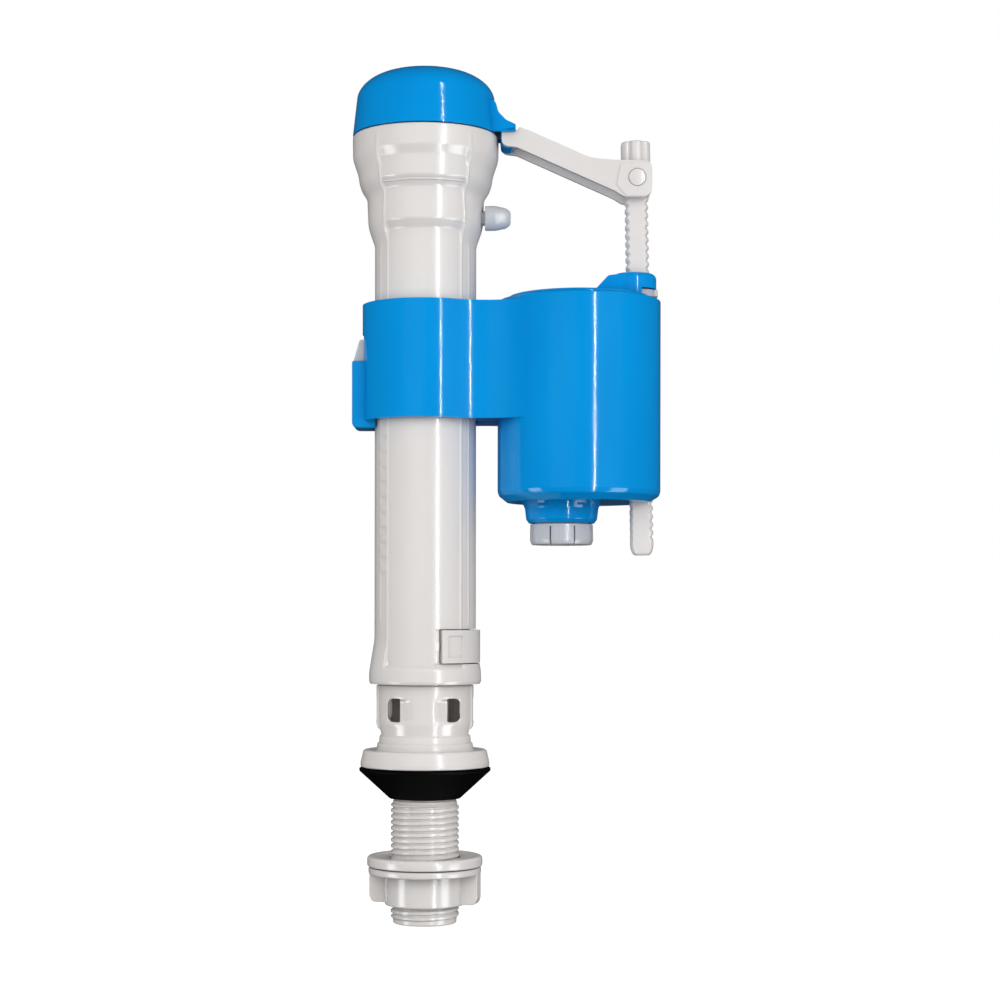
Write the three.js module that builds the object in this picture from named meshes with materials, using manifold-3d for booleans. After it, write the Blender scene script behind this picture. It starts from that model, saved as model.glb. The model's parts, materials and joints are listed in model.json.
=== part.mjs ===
// Bottom-entry toilet fill valve with a sliding float bucket.
// Millimetres, +Z up. The origin is the centre of the inlet end of the threaded shank.
// The bucket and the lever are on the +X side, and the height latch is on the -X side.

import * as THREE from "three";
import { mergeVertices } from "three/addons/utils/BufferGeometryUtils.js";
import Module from "manifold-3d";

const wasm = await Module();
wasm.setup();

// ---------------------------------------------------------------- driving dimensions

const GAP = 0.3; // clearance between neighbouring pieces
const FINE = 32; // segments of a large circle
const MEDIUM = 24;
const COARSE = 16; // segments of a small circle

// threaded shank, G 1/2
const THREAD_R = 10.45;
const THREAD_ROOT_R = 9.35;
const THREAD_PITCH = 1.814;
const THREAD_TOP = 36.4;
const SHANK_BORE_R = 6.8;
const NECK_R = 9.35;

// seat above the tank floor
const CONE_BOTTOM = 37.2;
const CONE_TOP = 47.6;
const CONE_SMALL_R = 10.9;
const CONE_LARGE_R = 20.2;
const FLANGE_BOTTOM = CONE_TOP + GAP;
const FLANGE_TOP = 53.2;
const FLANGE_R = 19.8;

// outlet housing with four windows
const OUTLET_R = 14.4;
const OUTLET_WALL = 2.1;
const OUTLET_TOP = 73.1;
const WINDOW_Z = 65.6;
const WINDOW_W = 5;
const WINDOW_H = 7.1;
const FRONT_WINDOWS = 39; // degrees each side of the front
const BACK_WINDOWS = 110; // also counted from the front

// telescoping tubes
const SOCKET_R = 13.7;
const SOCKET_TOP = 150;
const TUBE_R = 15.55;
const TUBE_BORE_R = 14.1;
const TUBE_BOTTOM = 73.4;
const FLARE_R = 17.2;
const SUPPLY_R = 7.3;
const SUPPLY_BORE_R = 5.95;
const SUPPLY_TOP = 152;
const HEIGHT_STEP = 12;
const RISER_R = 5.2;
const RISER_BORE_R = 3.6;
const RISER_BOTTOM = 79;
const RACK_PITCH = 4.6; // steps of the height latch
const RACK_BOTTOM = 106;
const RACK_TOP = 190.5;

// valve head
const HEAD_R = 22.4;
const HEAD_BORE_R = 19.5;
const HEAD_LEDGE = 224.5;
const HEAD_TOP = 240.9;
const SEAT_TOP = 229.5;
const SEAT_R = 7;
const DIAPHRAGM_Z = 231.3;
const PILOT_PLATE_Z = 236;
const PILOT_X = 9;
const PILOT_TOP = 240.6;
const PLUG_Y = -2; // centre of the refill outlet and its plug
const PLUG_Z = 216;
const PLUG_R = 3.8;
const CAP_BOTTOM = 241.2;
const DOME_R = 21.1; // where the dome springs from the wall of the cap
const DOME_BOTTOM = 252.5;
const DOME_RISE = 8.82;
const CAP_WALL = 2;

// lever, pivoted under the hood of the cap
const PIVOT_X = 25.4;
const PIVOT_Z = 239.3;
const PIN_R = 1.3;
const CHEEK_IN = 5;
const CHEEK_OUT = 6.8;
const SWIVEL_X = 64.6;
const SWIVEL_Z = 227.8;
const SWIVEL_R = 4.5;
const FORK_BOTTOM = 221.9;
const FORK_TOP = 232.9;
const FORK_END = 69.1;
const FORK_CORNER_R = 2.5;
const BOSS_R = 2.6;
const ARM_BOTTOM = 244.9; // inner arm, which carries the seal over the pilot orifice
const ARM_TOP = 246.8;

// adjusting rod, hanging one degree off the vertical
const ROD_R = 3.6;
const ROD_FLAT = 2.3; // half the thickness across the flats
const ROD_PITCH = 2.5;
const ROD_TILT = 1; // degrees
const ROD_BOTTOM = 112.8;
const KNOB_R = 4.6;
const KNOB_BOTTOM = 232.6;
const KNOB_TOP = 239.6;

// float bucket with its sliding collar
const COLLAR_R = 19.3;
const COLLAR_BORE_R = 16.3;
const COLLAR_BOTTOM = 153.8;
const COLLAR_TOP = 189.3;
const BUCKET_X = 47.2;
const BUCKET_R = 25;
const BUCKET_WALL = 1.2;
const BUCKET_BOTTOM = 129;
const BUCKET_TOP = 190.6;
const WEB_FILLET_R = 19;
const GUIDE_X = 65.9;
const GUIDE_BORE_R = 5.5;
const GUIDE_WALL = 0.8;
const GUIDE_TOP = 184;
const NOZZLE_X = 41.9;
const NOZZLE_R = 11.5;
const NOZZLE_BOTTOM = 122.6;
const DRAIN_R = 5;

// height latch in its housing on the collar
const LATCH_HALF = 4.6;
const LATCH_PIN_X = -19.6;
const LATCH_PIN_Z = 163;
const LATCH_PIN_R = 1;
const HOUSING_X = -22.2;
const HOUSING_HALF = 6.4;
const HOUSING_TOP = 171.9;
const HOUSING_BOTTOM = 151.4;

// inverted-cup float
const FLOAT_R = 22.2;
const FLOAT_WALL = 1.6;
const NOTCH_R = 7.6; // hollow in the float's side that clears the rod guide
const FLOAT_BOTTOM = 150;
const FLOAT_TOP = 192;
const EAR_X = 64;
const EAR_R = 6.9;
const EAR_TOP = 199.2;
const EAR_HALF = 6.2; // half the width of the wedge that braces the ear
const ROD_SLOT = [65, 65.9]; // ends of the float's slot, which lets the rod lean
const GRIP_X = 65.3; // centre of the clip that grips the rod under the ear
const GRIP_R = 5.4;
const GRIP_BOTTOM = 192;
const GRIP_TOP = 194.1;

// ---------------------------------------------------------------- solids

const { degToRad } = THREE.MathUtils;

// A closed geometry as a solid, with its faces turned outwards.
function solid(geometry) {
  const bare = geometry.clone();
  bare.deleteAttribute("normal");
  bare.deleteAttribute("uv");
  const merged = mergeVertices(bare, 1e-4);
  const corner = merged.attributes.position.array;
  const faces = new Uint32Array(merged.index.array);
  const real = [];
  for (let i = 0; i < faces.length; i += 3) {
    const [a, b, c] = faces.subarray(i, i + 3);
    if (a !== b && b !== c && a !== c) real.push(a, b, c);
  }
  const make = (triVerts) =>
    new wasm.Manifold(new wasm.Mesh({ numProp: 3, vertProperties: corner, triVerts }));
  const made = make(new Uint32Array(real));
  if (made.volume() > 0) return made;
  const turned = [];
  for (let i = 0; i < real.length; i += 3) turned.push(real[i], real[i + 2], real[i + 1]);
  return make(new Uint32Array(turned));
}

// A solid turned about the Z axis at (x, y) from [radius, z] points.
function turned(points, { x = 0, y = 0, segments = FINE } = {}) {
  const profile = points.map(([r, z]) => new THREE.Vector2(r, z));
  const geometry = new THREE.LatheGeometry(profile, segments);
  return solid(geometry.rotateX(Math.PI / 2).translate(x, y, 0));
}

const disc = (r, low, high, place) =>
  turned([[0, low], [r, low], [r, high], [0, high]], place);

const ring = (inner, outer, low, high, place) =>
  turned([[inner, low], [outer, low], [outer, high], [inner, high], [inner, low]], place);

function box(x0, x1, y0, y1, z0, z1) {
  const geometry = new THREE.BoxGeometry(x1 - x0, y1 - y0, z1 - z0);
  return solid(geometry.translate((x0 + x1) / 2, (y0 + y1) / 2, (z0 + z1) / 2));
}

// An outline in the XZ plane, spread from y0 to y1.
function plate(shape, y0, y1, curveSegments = 8) {
  const options = { depth: y1 - y0, bevelEnabled: false, curveSegments };
  const geometry = new THREE.ExtrudeGeometry(shape, options);
  return solid(geometry.rotateX(Math.PI / 2).translate(0, y1, 0));
}

// An outline in the XY plane, spread from low to high.
function slab(shape, low, high, curveSegments = 8) {
  const options = { depth: high - low, bevelEnabled: false, curveSegments };
  return solid(new THREE.ExtrudeGeometry(shape, options).translate(0, 0, low));
}

const outline = (points) =>
  new THREE.Shape(points.map(([x, y]) => new THREE.Vector2(x, y)));

// A cylinder along Y through (x, z), and one along X through (y, z).
function crossPin(r, x, z, y0, y1, segments = COARSE) {
  const geometry = new THREE.CylinderGeometry(r, r, y1 - y0, segments);
  return solid(geometry.translate(x, (y0 + y1) / 2, z));
}

function sidePin(r, y, z, x0, x1, endR = r) {
  const geometry = new THREE.CylinderGeometry(endR, r, x1 - x0, COARSE);
  return solid(geometry.rotateZ(-Math.PI / 2).translate((x0 + x1) / 2, y, z));
}

// A solid turned about the Z axis through (x, y) by an angle in degrees.
function spun(body, angle, x = 0, y = 0) {
  return body.translate([-x, -y, 0]).rotate([0, 0, angle]).translate([x, y, 0]);
}

const joined = (...bodies) => bodies.reduce((sum, body) => sum.add(body));

// The profile points of a row of V rings, one for each turn of a thread.
function ringThread(root, crest, pitch, low, high) {
  const points = [];
  for (let z = low; z + pitch <= high; z += pitch) {
    points.push([root, z], [crest, z + pitch / 2]);
  }
  return points;
}

// ---------------------------------------------------------------- materials

const plastic = (color, roughness) =>
  new THREE.MeshStandardMaterial({ color, roughness, metalness: 0 });

const WHITE = plastic(0xe6e1dd, 0.35);
const BLUE = plastic(0x018cd9, 0.25);
const RUBBER = plastic(0x0a0a0b, 0.8);
const SILICONE = plastic(0x4a4c50, 0.7);
const MILKY = plastic(0xd8dade, 0.4);

const valve = new THREE.Group();

function piece(name, body, material) {
  const found = body.getMesh();
  const geometry = new THREE.BufferGeometry();
  geometry.setAttribute("position", new THREE.BufferAttribute(found.vertProperties, 3));
  geometry.setIndex(new THREE.BufferAttribute(found.triVerts, 1));
  const mesh = new THREE.Mesh(geometry, material);
  mesh.name = name;
  valve.add(mesh);
}

// ---------------------------------------------------------------- base and shank

// A D-shaped opening with its round side away from the front or back of the housing.
function windowCutter(angle, side) {
  const [w, h] = [WINDOW_W / 2, WINDOW_H / 2];
  const half = [[-w, h], [0.2 * w, h], [0.8 * w, 0.65 * h], [w, 0]];
  const lower = half.slice(0, -1).map(([x, z]) => [x, -z]).reverse();
  const opening = outline([...half, ...lower].map(([x, z]) => [side * x, WINDOW_Z + z]));
  return spun(plate(opening, -OUTLET_R - 2, -OUTLET_R + OUTLET_WALL + 1.3), side * angle);
}

function baseShank() {
  const shank = turned([
    [SHANK_BORE_R, 0],
    [THREAD_ROOT_R, 0],
    ...ringThread(THREAD_ROOT_R, THREAD_R, THREAD_PITCH, 0.9, THREAD_TOP),
    [NECK_R, THREAD_TOP],
    [NECK_R, FLANGE_BOTTOM + 1],
    [SHANK_BORE_R, FLANGE_BOTTOM + 1],
    [SHANK_BORE_R, 0],
  ], { segments: COARSE });
  const outside = [
    [SHANK_BORE_R + 1.6, FLANGE_BOTTOM],
    [FLANGE_R, FLANGE_BOTTOM],
    [FLANGE_R - 0.9, FLANGE_TOP],
    [14.7, FLANGE_TOP],
    [14.6, 55.2],
    [14.1, 55.4],
    [14, 57.4],
    [13.6, 57.6],
    [OUTLET_R, 61],
    [OUTLET_R, OUTLET_TOP],
    [SOCKET_R, OUTLET_TOP],
  ];
  const inside = [
    [SOCKET_R, SOCKET_TOP],
    [OUTLET_R - OUTLET_WALL, SOCKET_TOP],
    [OUTLET_R - OUTLET_WALL, 56],
    [SUPPLY_R + 1.6, 54],
    [SHANK_BORE_R + 1.6, 54],
    [SHANK_BORE_R + 1.6, FLANGE_BOTTOM],
  ];
  const socketBore = disc(SUPPLY_R + GAP, 44, 56, { segments: MEDIUM });
  let body = turned([...outside, ...inside], { segments: FINE })
    .add(shank)
    .subtract(socketBore);
  for (const side of [-1, 1]) {
    body = body.subtract(windowCutter(FRONT_WINDOWS, side));
    body = body.subtract(windowCutter(BACK_WINDOWS, side));
  }
  // locking notches for the clip, one for each height step
  for (let z = 84; z < SOCKET_TOP; z += HEIGHT_STEP) {
    body = body.subtract(box(SOCKET_R - 0.9, SOCKET_R + 1, -5, 5, z - 1, z + 1));
  }
  return body;
}

function inletStrainer() {
  const rim = ring(5.6, SHANK_BORE_R - GAP, 0, 9, { segments: COARSE });
  const hub = disc(3.2, 0, 1.4, { segments: COARSE });
  let body = rim.add(hub);
  for (let i = 0; i < 4; i += 1) {
    const spoke = box(2.4, 6, -0.6, 0.6, 0, 1.4);
    body = body.add(spun(spoke, 90 * i));
  }
  return body;
}

const coneWasher = turned([
  [NECK_R + GAP, CONE_BOTTOM],
  [CONE_SMALL_R, CONE_BOTTOM],
  [CONE_LARGE_R, CONE_TOP - 0.8],
  [CONE_LARGE_R, CONE_TOP],
  [NECK_R + GAP, CONE_TOP],
  [NECK_R + GAP, CONE_BOTTOM],
]);

piece("base_shank", baseShank(), WHITE);
piece("inlet_strainer", inletStrainer(), MILKY);
piece("flow_restrictor", ring(2, SHANK_BORE_R - GAP, 9.5, 12, { segments: COARSE }), SILICONE);
piece("cone_washer", coneWasher, RUBBER);
piece("supply_pipe", ring(SUPPLY_BORE_R, SUPPLY_R, 44.3, SUPPLY_TOP, { segments: MEDIUM }), WHITE);

// ---------------------------------------------------------------- washer and wing nut

const NUT_BORE_R = THREAD_R + GAP;
const NUT_TOP = 17.2;

function wingNut() {
  const hub = ring(NUT_BORE_R, 12.3, 5.6, NUT_TOP, { segments: MEDIUM });
  const flange = ring(NUT_BORE_R, 17.3, 15, NUT_TOP);
  const wings = [-14, 166].map((angle) => spun(box(11.6, 17.2, -2.4, 2.4, 6, 16), angle));
  return joined(hub, flange, ...wings);
}

piece("wing_nut", wingNut(), WHITE);
piece("friction_washer", ring(NUT_BORE_R, 17.7, NUT_TOP + GAP, 20.6), WHITE);

// ---------------------------------------------------------------- upper tube and head

const CLIP_LOW = 79.9;
const CLIP_HIGH = 89.9;
const CLIP_HALF_ANGLE = 70;

// A sector of a ring, centred on the +X side.
function sector(inner, outer, halfAngle, low, high) {
  const a = degToRad(halfAngle);
  const shape = new THREE.Shape();
  shape.absarc(0, 0, outer, -a, a, false);
  shape.absarc(0, 0, inner, a, -a, true);
  return slab(shape, low, high, 12);
}

function upperTube() {
  const outside = [
    [TUBE_BORE_R, TUBE_BOTTOM],
    [FLARE_R, TUBE_BOTTOM],
    [FLARE_R, 77],
    [TUBE_R, 87],
    [TUBE_R, 207.5],
    [17.1, 211.8],
    [17.6, 214],
    [17.9, 222],
    [19.4, 224],
    [20.3, 226.5],
    [20.6, 229],
    [22.3, 234],
    [HEAD_R, HEAD_TOP],
    [HEAD_BORE_R, HEAD_TOP],
    [HEAD_BORE_R, HEAD_LEDGE],
    [15.8, HEAD_LEDGE],
    [15.8, 214],
    [TUBE_BORE_R, 210],
    [TUBE_BORE_R, TUBE_BOTTOM],
  ];
  let body = turned(outside);
  // two plain ribs on the bucket side and two toothed racks on the latch side
  for (const angle of [-38, 38]) {
    const rib = spun(box(TUBE_R - 0.4, TUBE_R + 0.4, -0.7, 0.7, 90, 206), angle);
    body = body.add(rib);
  }
  const teeth = [[TUBE_R - 0.6, RACK_TOP], [TUBE_R - 0.6, RACK_BOTTOM]];
  for (let z = RACK_BOTTOM + 1; z < RACK_TOP - 3; z += RACK_PITCH) {
    teeth.push([TUBE_R + 0.1, z], [TUBE_R + 0.45, z + 0.6], [TUBE_R + 0.45, z + 2.6]);
  }
  for (const angle of [142, 218]) {
    body = body.add(spun(plate(outline(teeth), -1.9, 1.9), angle));
  }
  const clipWindow = sector(12, 19, CLIP_HALF_ANGLE + 1.2, CLIP_LOW - GAP, CLIP_HIGH + GAP);
  const plugHole = sidePin(2.6, PLUG_Y, PLUG_Z, 12, 24);
  return body.subtract(clipWindow).subtract(plugHole);
}

const riserProfile = [
  [RISER_BORE_R, RISER_BOTTOM],
  [RISER_R, RISER_BOTTOM],
  [RISER_R, 82],
  [4.4, 82],
  [4.4, 84.6],
  [RISER_R, 84.6],
  [RISER_R, 223.6],
  [RISER_BORE_R, 223.6],
  [RISER_BORE_R, RISER_BOTTOM],
];

function valveSeat() {
  const spider = ring(17.4, HEAD_BORE_R - GAP, HEAD_LEDGE + GAP, SEAT_TOP - 1);
  const nozzle = turned([
    [RISER_R + GAP, 217],
    [SEAT_R, 217],
    [SEAT_R, SEAT_TOP - 1],
    [5, SEAT_TOP],
    [4, SEAT_TOP],
    [4, 224],
    [RISER_R + GAP, 224],
    [RISER_R + GAP, 217],
  ], { segments: MEDIUM });
  const arms = [45, 135, 225, 315].map((angle) =>
    spun(box(6.4, 18, -1, 1, HEAD_LEDGE + GAP, SEAT_TOP - 2.2), angle));
  return joined(spider, nozzle, ...arms);
}

const pilotAt = { x: PILOT_X, segments: COARSE };

function pilotPlate() {
  const cover = disc(HEAD_BORE_R - GAP, PILOT_PLATE_Z, PILOT_PLATE_Z + 2);
  const boss = disc(2.6, PILOT_PLATE_Z + 1, PILOT_TOP, pilotAt);
  const orifice = disc(0.8, PILOT_PLATE_Z - 1, PILOT_TOP + 1, { x: PILOT_X, segments: 12 });
  return cover.add(boss).subtract(orifice);
}

function refillPlug() {
  const stem = sidePin(2.2, PLUG_Y, PLUG_Z, 15.5, 18.6);
  const head = sidePin(PLUG_R, PLUG_Y, PLUG_Z, 18.2, 23.4, PLUG_R - 0.2);
  const nose = sidePin(PLUG_R - 0.2, PLUG_Y, PLUG_Z, 23.3, 26.1, 1.6);
  return joined(stem, head, nose);
}

function lockClip() {
  const band = sector(14.5, 16.9, CLIP_HALF_ANGLE, CLIP_LOW, CLIP_HIGH);
  const tooth = sector(SOCKET_R + GAP, 15, CLIP_HALF_ANGLE - 12, 83.4, 84.6);
  return band.add(tooth);
}

piece("upper_tube", upperTube(), WHITE);
piece("riser_tube", turned(riserProfile, { segments: COARSE }), WHITE);
piece("riser_o_ring", ring(4.6, SUPPLY_BORE_R - 0.2, 82.25, 84.35, { segments: COARSE }), RUBBER);
piece("valve_seat", valveSeat(), WHITE);
piece("pilot_plate", pilotPlate(), WHITE);
piece("refill_plug", refillPlug(), MILKY);
piece("lock_clip", lockClip(), WHITE);

// ---------------------------------------------------------------- diaphragm

const diaphragm = turned([
  [1.9, DIAPHRAGM_Z],
  [9, DIAPHRAGM_Z],
  [12, DIAPHRAGM_Z + 0.6],
  [18.8, DIAPHRAGM_Z + 0.2],
  [18.8, DIAPHRAGM_Z + 1.8],
  [12, DIAPHRAGM_Z + 2.2],
  [9, DIAPHRAGM_Z + 1.4],
  [1.9, DIAPHRAGM_Z + 1.4],
  [1.9, DIAPHRAGM_Z],
], { segments: MEDIUM });

const diaphragmPlate = turned([
  [0, 226],
  [1.1, 226.4],
  [1.6, DIAPHRAGM_Z + 1.7],
  [8.5, DIAPHRAGM_Z + 1.7],
  [8.2, DIAPHRAGM_Z + 3],
  [0, DIAPHRAGM_Z + 3],
], { segments: COARSE });

piece("diaphragm", diaphragm, SILICONE);
piece("diaphragm_plate", diaphragmPlate, WHITE);

// ---------------------------------------------------------------- cap

const HOOD_IN = CHEEK_OUT + GAP;
const HOOD_OUT = 8.7;

// The dome's profile: a nearly upright wall, a rounded shoulder and a shallow crown.
function domeProfile(inset) {
  const points = [];
  const steps = 8;
  for (let i = 0; i < steps; i += 1) {
    const a = (i / steps) * (Math.PI / 2);
    const r = (DOME_R - inset) * Math.cos(a) ** 0.695;
    points.push([r, DOME_BOTTOM + (DOME_RISE - inset) * Math.sin(a) ** 1.153]);
  }
  return [...points, [0, DOME_BOTTOM + DOME_RISE - inset]];
}

function topCap() {
  const outer = turned([[0, CAP_BOTTOM], [HEAD_R, CAP_BOTTOM], ...domeProfile(0)]);
  const inner = turned([
    [0, CAP_BOTTOM - 1],
    [HEAD_R - CAP_WALL, CAP_BOTTOM - 1],
    ...domeProfile(CAP_WALL),
  ]);
  const skirt = ring(17.3, 19.1, 239.8, 246);
  const skirtWeb = ring(18.8, 21.2, 242.6, 244.2);
  const hoodShape = outline([
    [19, CAP_BOTTOM],
    [27.6, CAP_BOTTOM + 0.2],
    [27.6, 243.5],
    [24.6, 244.9],
    [22.4, 247.2],
    [19, 248.6],
  ]);
  const hood = plate(hoodShape, -HOOD_OUT, HOOD_OUT).subtract(disc(19.2, 230, 262));
  const passage = outline([
    [10, CAP_BOTTOM - 3],
    [28.5, CAP_BOTTOM - 3],
    [28.5, 242.8],
    [24.4, 243.9],
    [21.6, 246.9],
    [10, 247.6],
  ]);
  const lug = plate(outline([
    [23.2, PIVOT_Z - 2],
    [27.2, PIVOT_Z - 2],
    [27.4, 243.2],
    [24.5, 244.6],
    [22.6, 246.6],
    [22.6, 242.8],
  ]), -CHEEK_IN + GAP, CHEEK_IN - GAP);
  const shell = outer.subtract(inner).add(skirt).add(skirtWeb).add(hood);
  return shell
    .subtract(plate(passage, -HOOD_IN, HOOD_IN))
    .add(lug)
    .subtract(crossPin(PIN_R + GAP, PIVOT_X, PIVOT_Z, -8, 8));
}

piece("top_cap", topCap(), BLUE);
piece("cap_seal", ring(17.4, 19.1, 238.3, 239.5, { segments: FINE }), RUBBER);
piece("lever_pin", crossPin(PIN_R, PIVOT_X, PIVOT_Z, -CHEEK_OUT, CHEEK_OUT), WHITE);

// ---------------------------------------------------------------- lever, swivel and rod

// One cheek's outline in the XZ plane: inner arm, pivot eye, outer arm and fork end.
function cheekShape() {
  const eyeR = 2.1;
  const cornerX = FORK_END - FORK_CORNER_R;
  const shape = new THREE.Shape();
  shape.moveTo(5.6, ARM_BOTTOM);
  shape.lineTo(17.6, ARM_BOTTOM);
  shape.lineTo(19.6, 242.4);
  shape.lineTo(PIVOT_X - eyeR, 242.2);
  shape.lineTo(PIVOT_X - eyeR, PIVOT_Z);
  shape.absarc(PIVOT_X, PIVOT_Z, eyeR, Math.PI, 1.5 * Math.PI);
  shape.lineTo(28, 236.9);
  shape.lineTo(57.9, 223.6);
  shape.lineTo(60.6, FORK_BOTTOM);
  shape.absarc(cornerX, FORK_BOTTOM + FORK_CORNER_R, FORK_CORNER_R, -Math.PI / 2, 0);
  shape.absarc(cornerX, FORK_TOP - FORK_CORNER_R, FORK_CORNER_R, 0, Math.PI / 2);
  shape.lineTo(57.1, 233.1);
  shape.quadraticCurveTo(50.4, 233.3, 45.6, 235.8);
  shape.lineTo(31.6, 242);
  shape.lineTo(28.6, 243.1);
  shape.lineTo(28.2, 242.1);
  shape.lineTo(25.2, 242.2);
  shape.lineTo(21.5, 246.2);
  shape.lineTo(5.6, ARM_TOP);
  return shape;
}

function lever() {
  const cheek = cheekShape();
  const left = plate(cheek, -CHEEK_OUT, -CHEEK_IN);
  const right = plate(cheek, CHEEK_IN, CHEEK_OUT);
  const web = plate(outline([
    [28.8, 241.4],
    [31.2, 240.5],
    [45.4, 234.2],
    [51, 231.9],
    [57.4, 231.7],
    [57.4, 233],
    [51.7, 233.4],
    [45.6, 235.6],
    [31.5, 241.8],
    [28.8, 242.8],
  ]), -CHEEK_IN - 0.4, CHEEK_IN + 0.4);
  const sealBeam = box(5.8, 13, -CHEEK_IN - 0.4, CHEEK_IN + 0.4, ARM_BOTTOM + 0.1, ARM_TOP - 0.1);
  return joined(left, right, web, sealBeam)
    .subtract(crossPin(PIN_R + GAP, PIVOT_X, PIVOT_Z, -8, 8))
    .subtract(crossPin(BOSS_R + GAP, SWIVEL_X, SWIVEL_Z, -8, 8));
}

const rodTilted = (body) =>
  body.translate([-SWIVEL_X, 0, -SWIVEL_Z])
    .rotate([0, -ROD_TILT, 0])
    .translate([SWIVEL_X, 0, SWIVEL_Z]);

function swivelBlock() {
  const barrel = crossPin(SWIVEL_R, SWIVEL_X, SWIVEL_Z, -CHEEK_IN + GAP, CHEEK_IN - GAP, MEDIUM);
  const boss = crossPin(BOSS_R, SWIVEL_X, SWIVEL_Z, -CHEEK_OUT - 0.3, CHEEK_OUT + 0.3);
  const rodHole = disc(ROD_R + GAP, 215, 245, { x: SWIVEL_X, segments: MEDIUM });
  return barrel.add(boss).subtract(rodTilted(rodHole));
}

function adjustingRod() {
  const edge = [];
  for (let z = ROD_BOTTOM + 5; z < KNOB_BOTTOM - 12; z += ROD_PITCH) {
    edge.push([ROD_R, z + 0.6], [ROD_R - 0.7, z + 1.8]);
  }
  const half = [[ROD_R - 1.9, ROD_BOTTOM + 0.4], [ROD_R - 0.4, ROD_BOTTOM + 3], ...edge];
  half.push([ROD_R, KNOB_BOTTOM - 9], [ROD_R, KNOB_BOTTOM + 1]);
  const right = half.map(([x, z]) => [SWIVEL_X + x, z]);
  const left = half.map(([x, z]) => [SWIVEL_X - x, z]).reverse();
  const tip = [[SWIVEL_X, ROD_BOTTOM]];
  const round = disc(ROD_R + 0.02, ROD_BOTTOM - 1, KNOB_TOP, { x: SWIVEL_X, segments: 12 });
  const stem = plate(outline([...tip, ...right, ...left]), -ROD_FLAT, ROD_FLAT).intersect(round);
  let knob = disc(KNOB_R, KNOB_BOTTOM, KNOB_TOP, { x: SWIVEL_X, segments: COARSE });
  for (let angle = 0; angle < 360; angle += 60) {
    const flute = disc(0.9, KNOB_BOTTOM - 1, KNOB_TOP + 1, { x: SWIVEL_X + KNOB_R + 0.3, segments: 10 });
    knob = knob.subtract(spun(flute, angle + 30, SWIVEL_X));
  }
  return rodTilted(stem.add(knob));
}

piece("lever", lever(), WHITE);
piece("pilot_seal", disc(2.2, ARM_BOTTOM - 1.8, ARM_BOTTOM - 0.2, pilotAt), RUBBER);
piece("swivel_block", swivelBlock(), WHITE);
piece("adjusting_rod", adjustingRod(), WHITE);

// ---------------------------------------------------------------- float and its clip

function floatCup() {
  const at = { x: BUCKET_X };
  const roof = FLOAT_TOP - FLOAT_WALL;
  const notchAt = { x: GUIDE_X - 0.5, segments: MEDIUM };
  const notch = disc(NOTCH_R, 100, roof, notchAt);
  const notchWall = disc(NOTCH_R + FLOAT_WALL, 100, FLOAT_TOP, notchAt);
  const cup = disc(FLOAT_R, FLOAT_BOTTOM, FLOAT_TOP, at).subtract(notch);
  const air = disc(FLOAT_R - FLOAT_WALL, 140, roof, at).subtract(notchWall);
  const wedge = plate(outline([
    [50.2, roof + 1],
    [50.2, FLOAT_TOP],
    [55.9, 198.1],
    [59.5, 198.5],
    [61.3, EAR_TOP - 0.2],
    [EAR_X, EAR_TOP - 0.2],
    [EAR_X, roof + 1],
  ]), -EAR_HALF, EAR_HALF);
  const boss = turned([
    [0, roof + 1],
    [EAR_R, roof + 1],
    [EAR_R, EAR_TOP - 1.6],
    [EAR_R - 0.5, EAR_TOP - 0.5],
    [EAR_R - 1.6, EAR_TOP],
    [0, EAR_TOP],
  ], { x: EAR_X, segments: MEDIUM });
  const openSide = box(EAR_X + 2, 80, -EAR_R, EAR_R, FLOAT_TOP, GRIP_TOP + GAP);
  const clipSlot = joined(
    disc(GRIP_R + GAP, GRIP_BOTTOM - GAP, GRIP_TOP + GAP, { x: GRIP_X, segments: MEDIUM }),
    box(GRIP_X, 80, -GRIP_R - GAP, GRIP_R + GAP, GRIP_BOTTOM - GAP, GRIP_TOP + GAP),
  );
  const [slotStart, slotEnd] = ROD_SLOT;
  const slotR = ROD_R + GAP;
  const rodSlot = joined(
    disc(slotR, 170, 210, { x: slotStart, segments: MEDIUM }),
    disc(slotR, 170, 210, { x: slotEnd, segments: MEDIUM }),
    box(slotStart, slotEnd, -slotR, slotR, 170, 210),
  );
  return joined(cup.subtract(air), wedge, boss)
    .subtract(openSide)
    .subtract(clipSlot)
    .subtract(rodSlot);
}

function floatClip() {
  const seatX = GRIP_X + 0.5;
  const seatR = ROD_R + GAP;
  const collar = disc(GRIP_R, GRIP_BOTTOM, GRIP_TOP, { x: GRIP_X, segments: MEDIUM });
  const tab = box(GRIP_X + 4.6, 71.2, -3, 3, GRIP_BOTTOM, GRIP_TOP);
  const mouth = box(50, seatX, -seatR, seatR, 190, 200);
  const seat = disc(seatR, 190, 200, { x: seatX, segments: MEDIUM });
  return collar.add(tab).subtract(mouth).subtract(seat);
}

piece("float", floatCup(), BLUE);
piece("float_clip", floatClip(), MILKY);

// ---------------------------------------------------------------- bucket with collar

// Plan of the web: on each side an arc that runs smoothly into the collar and into the bucket.
function webShape() {
  const toCollar = COLLAR_R + WEB_FILLET_R;
  const toBucket = BUCKET_R + WEB_FILLET_R;
  const x = (toCollar ** 2 - toBucket ** 2 + BUCKET_X ** 2) / (2 * BUCKET_X);
  const y = Math.sqrt(toCollar ** 2 - x ** 2);
  const collarEnd = Math.atan2(-y, -x);
  const bucketEnd = Math.atan2(-y, BUCKET_X - x);
  const shape = new THREE.Shape();
  shape.absarc(x, y, WEB_FILLET_R, collarEnd, bucketEnd, false);
  shape.absarc(x, -y, WEB_FILLET_R, -bucketEnd, -collarEnd, false);
  return shape;
}

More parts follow.
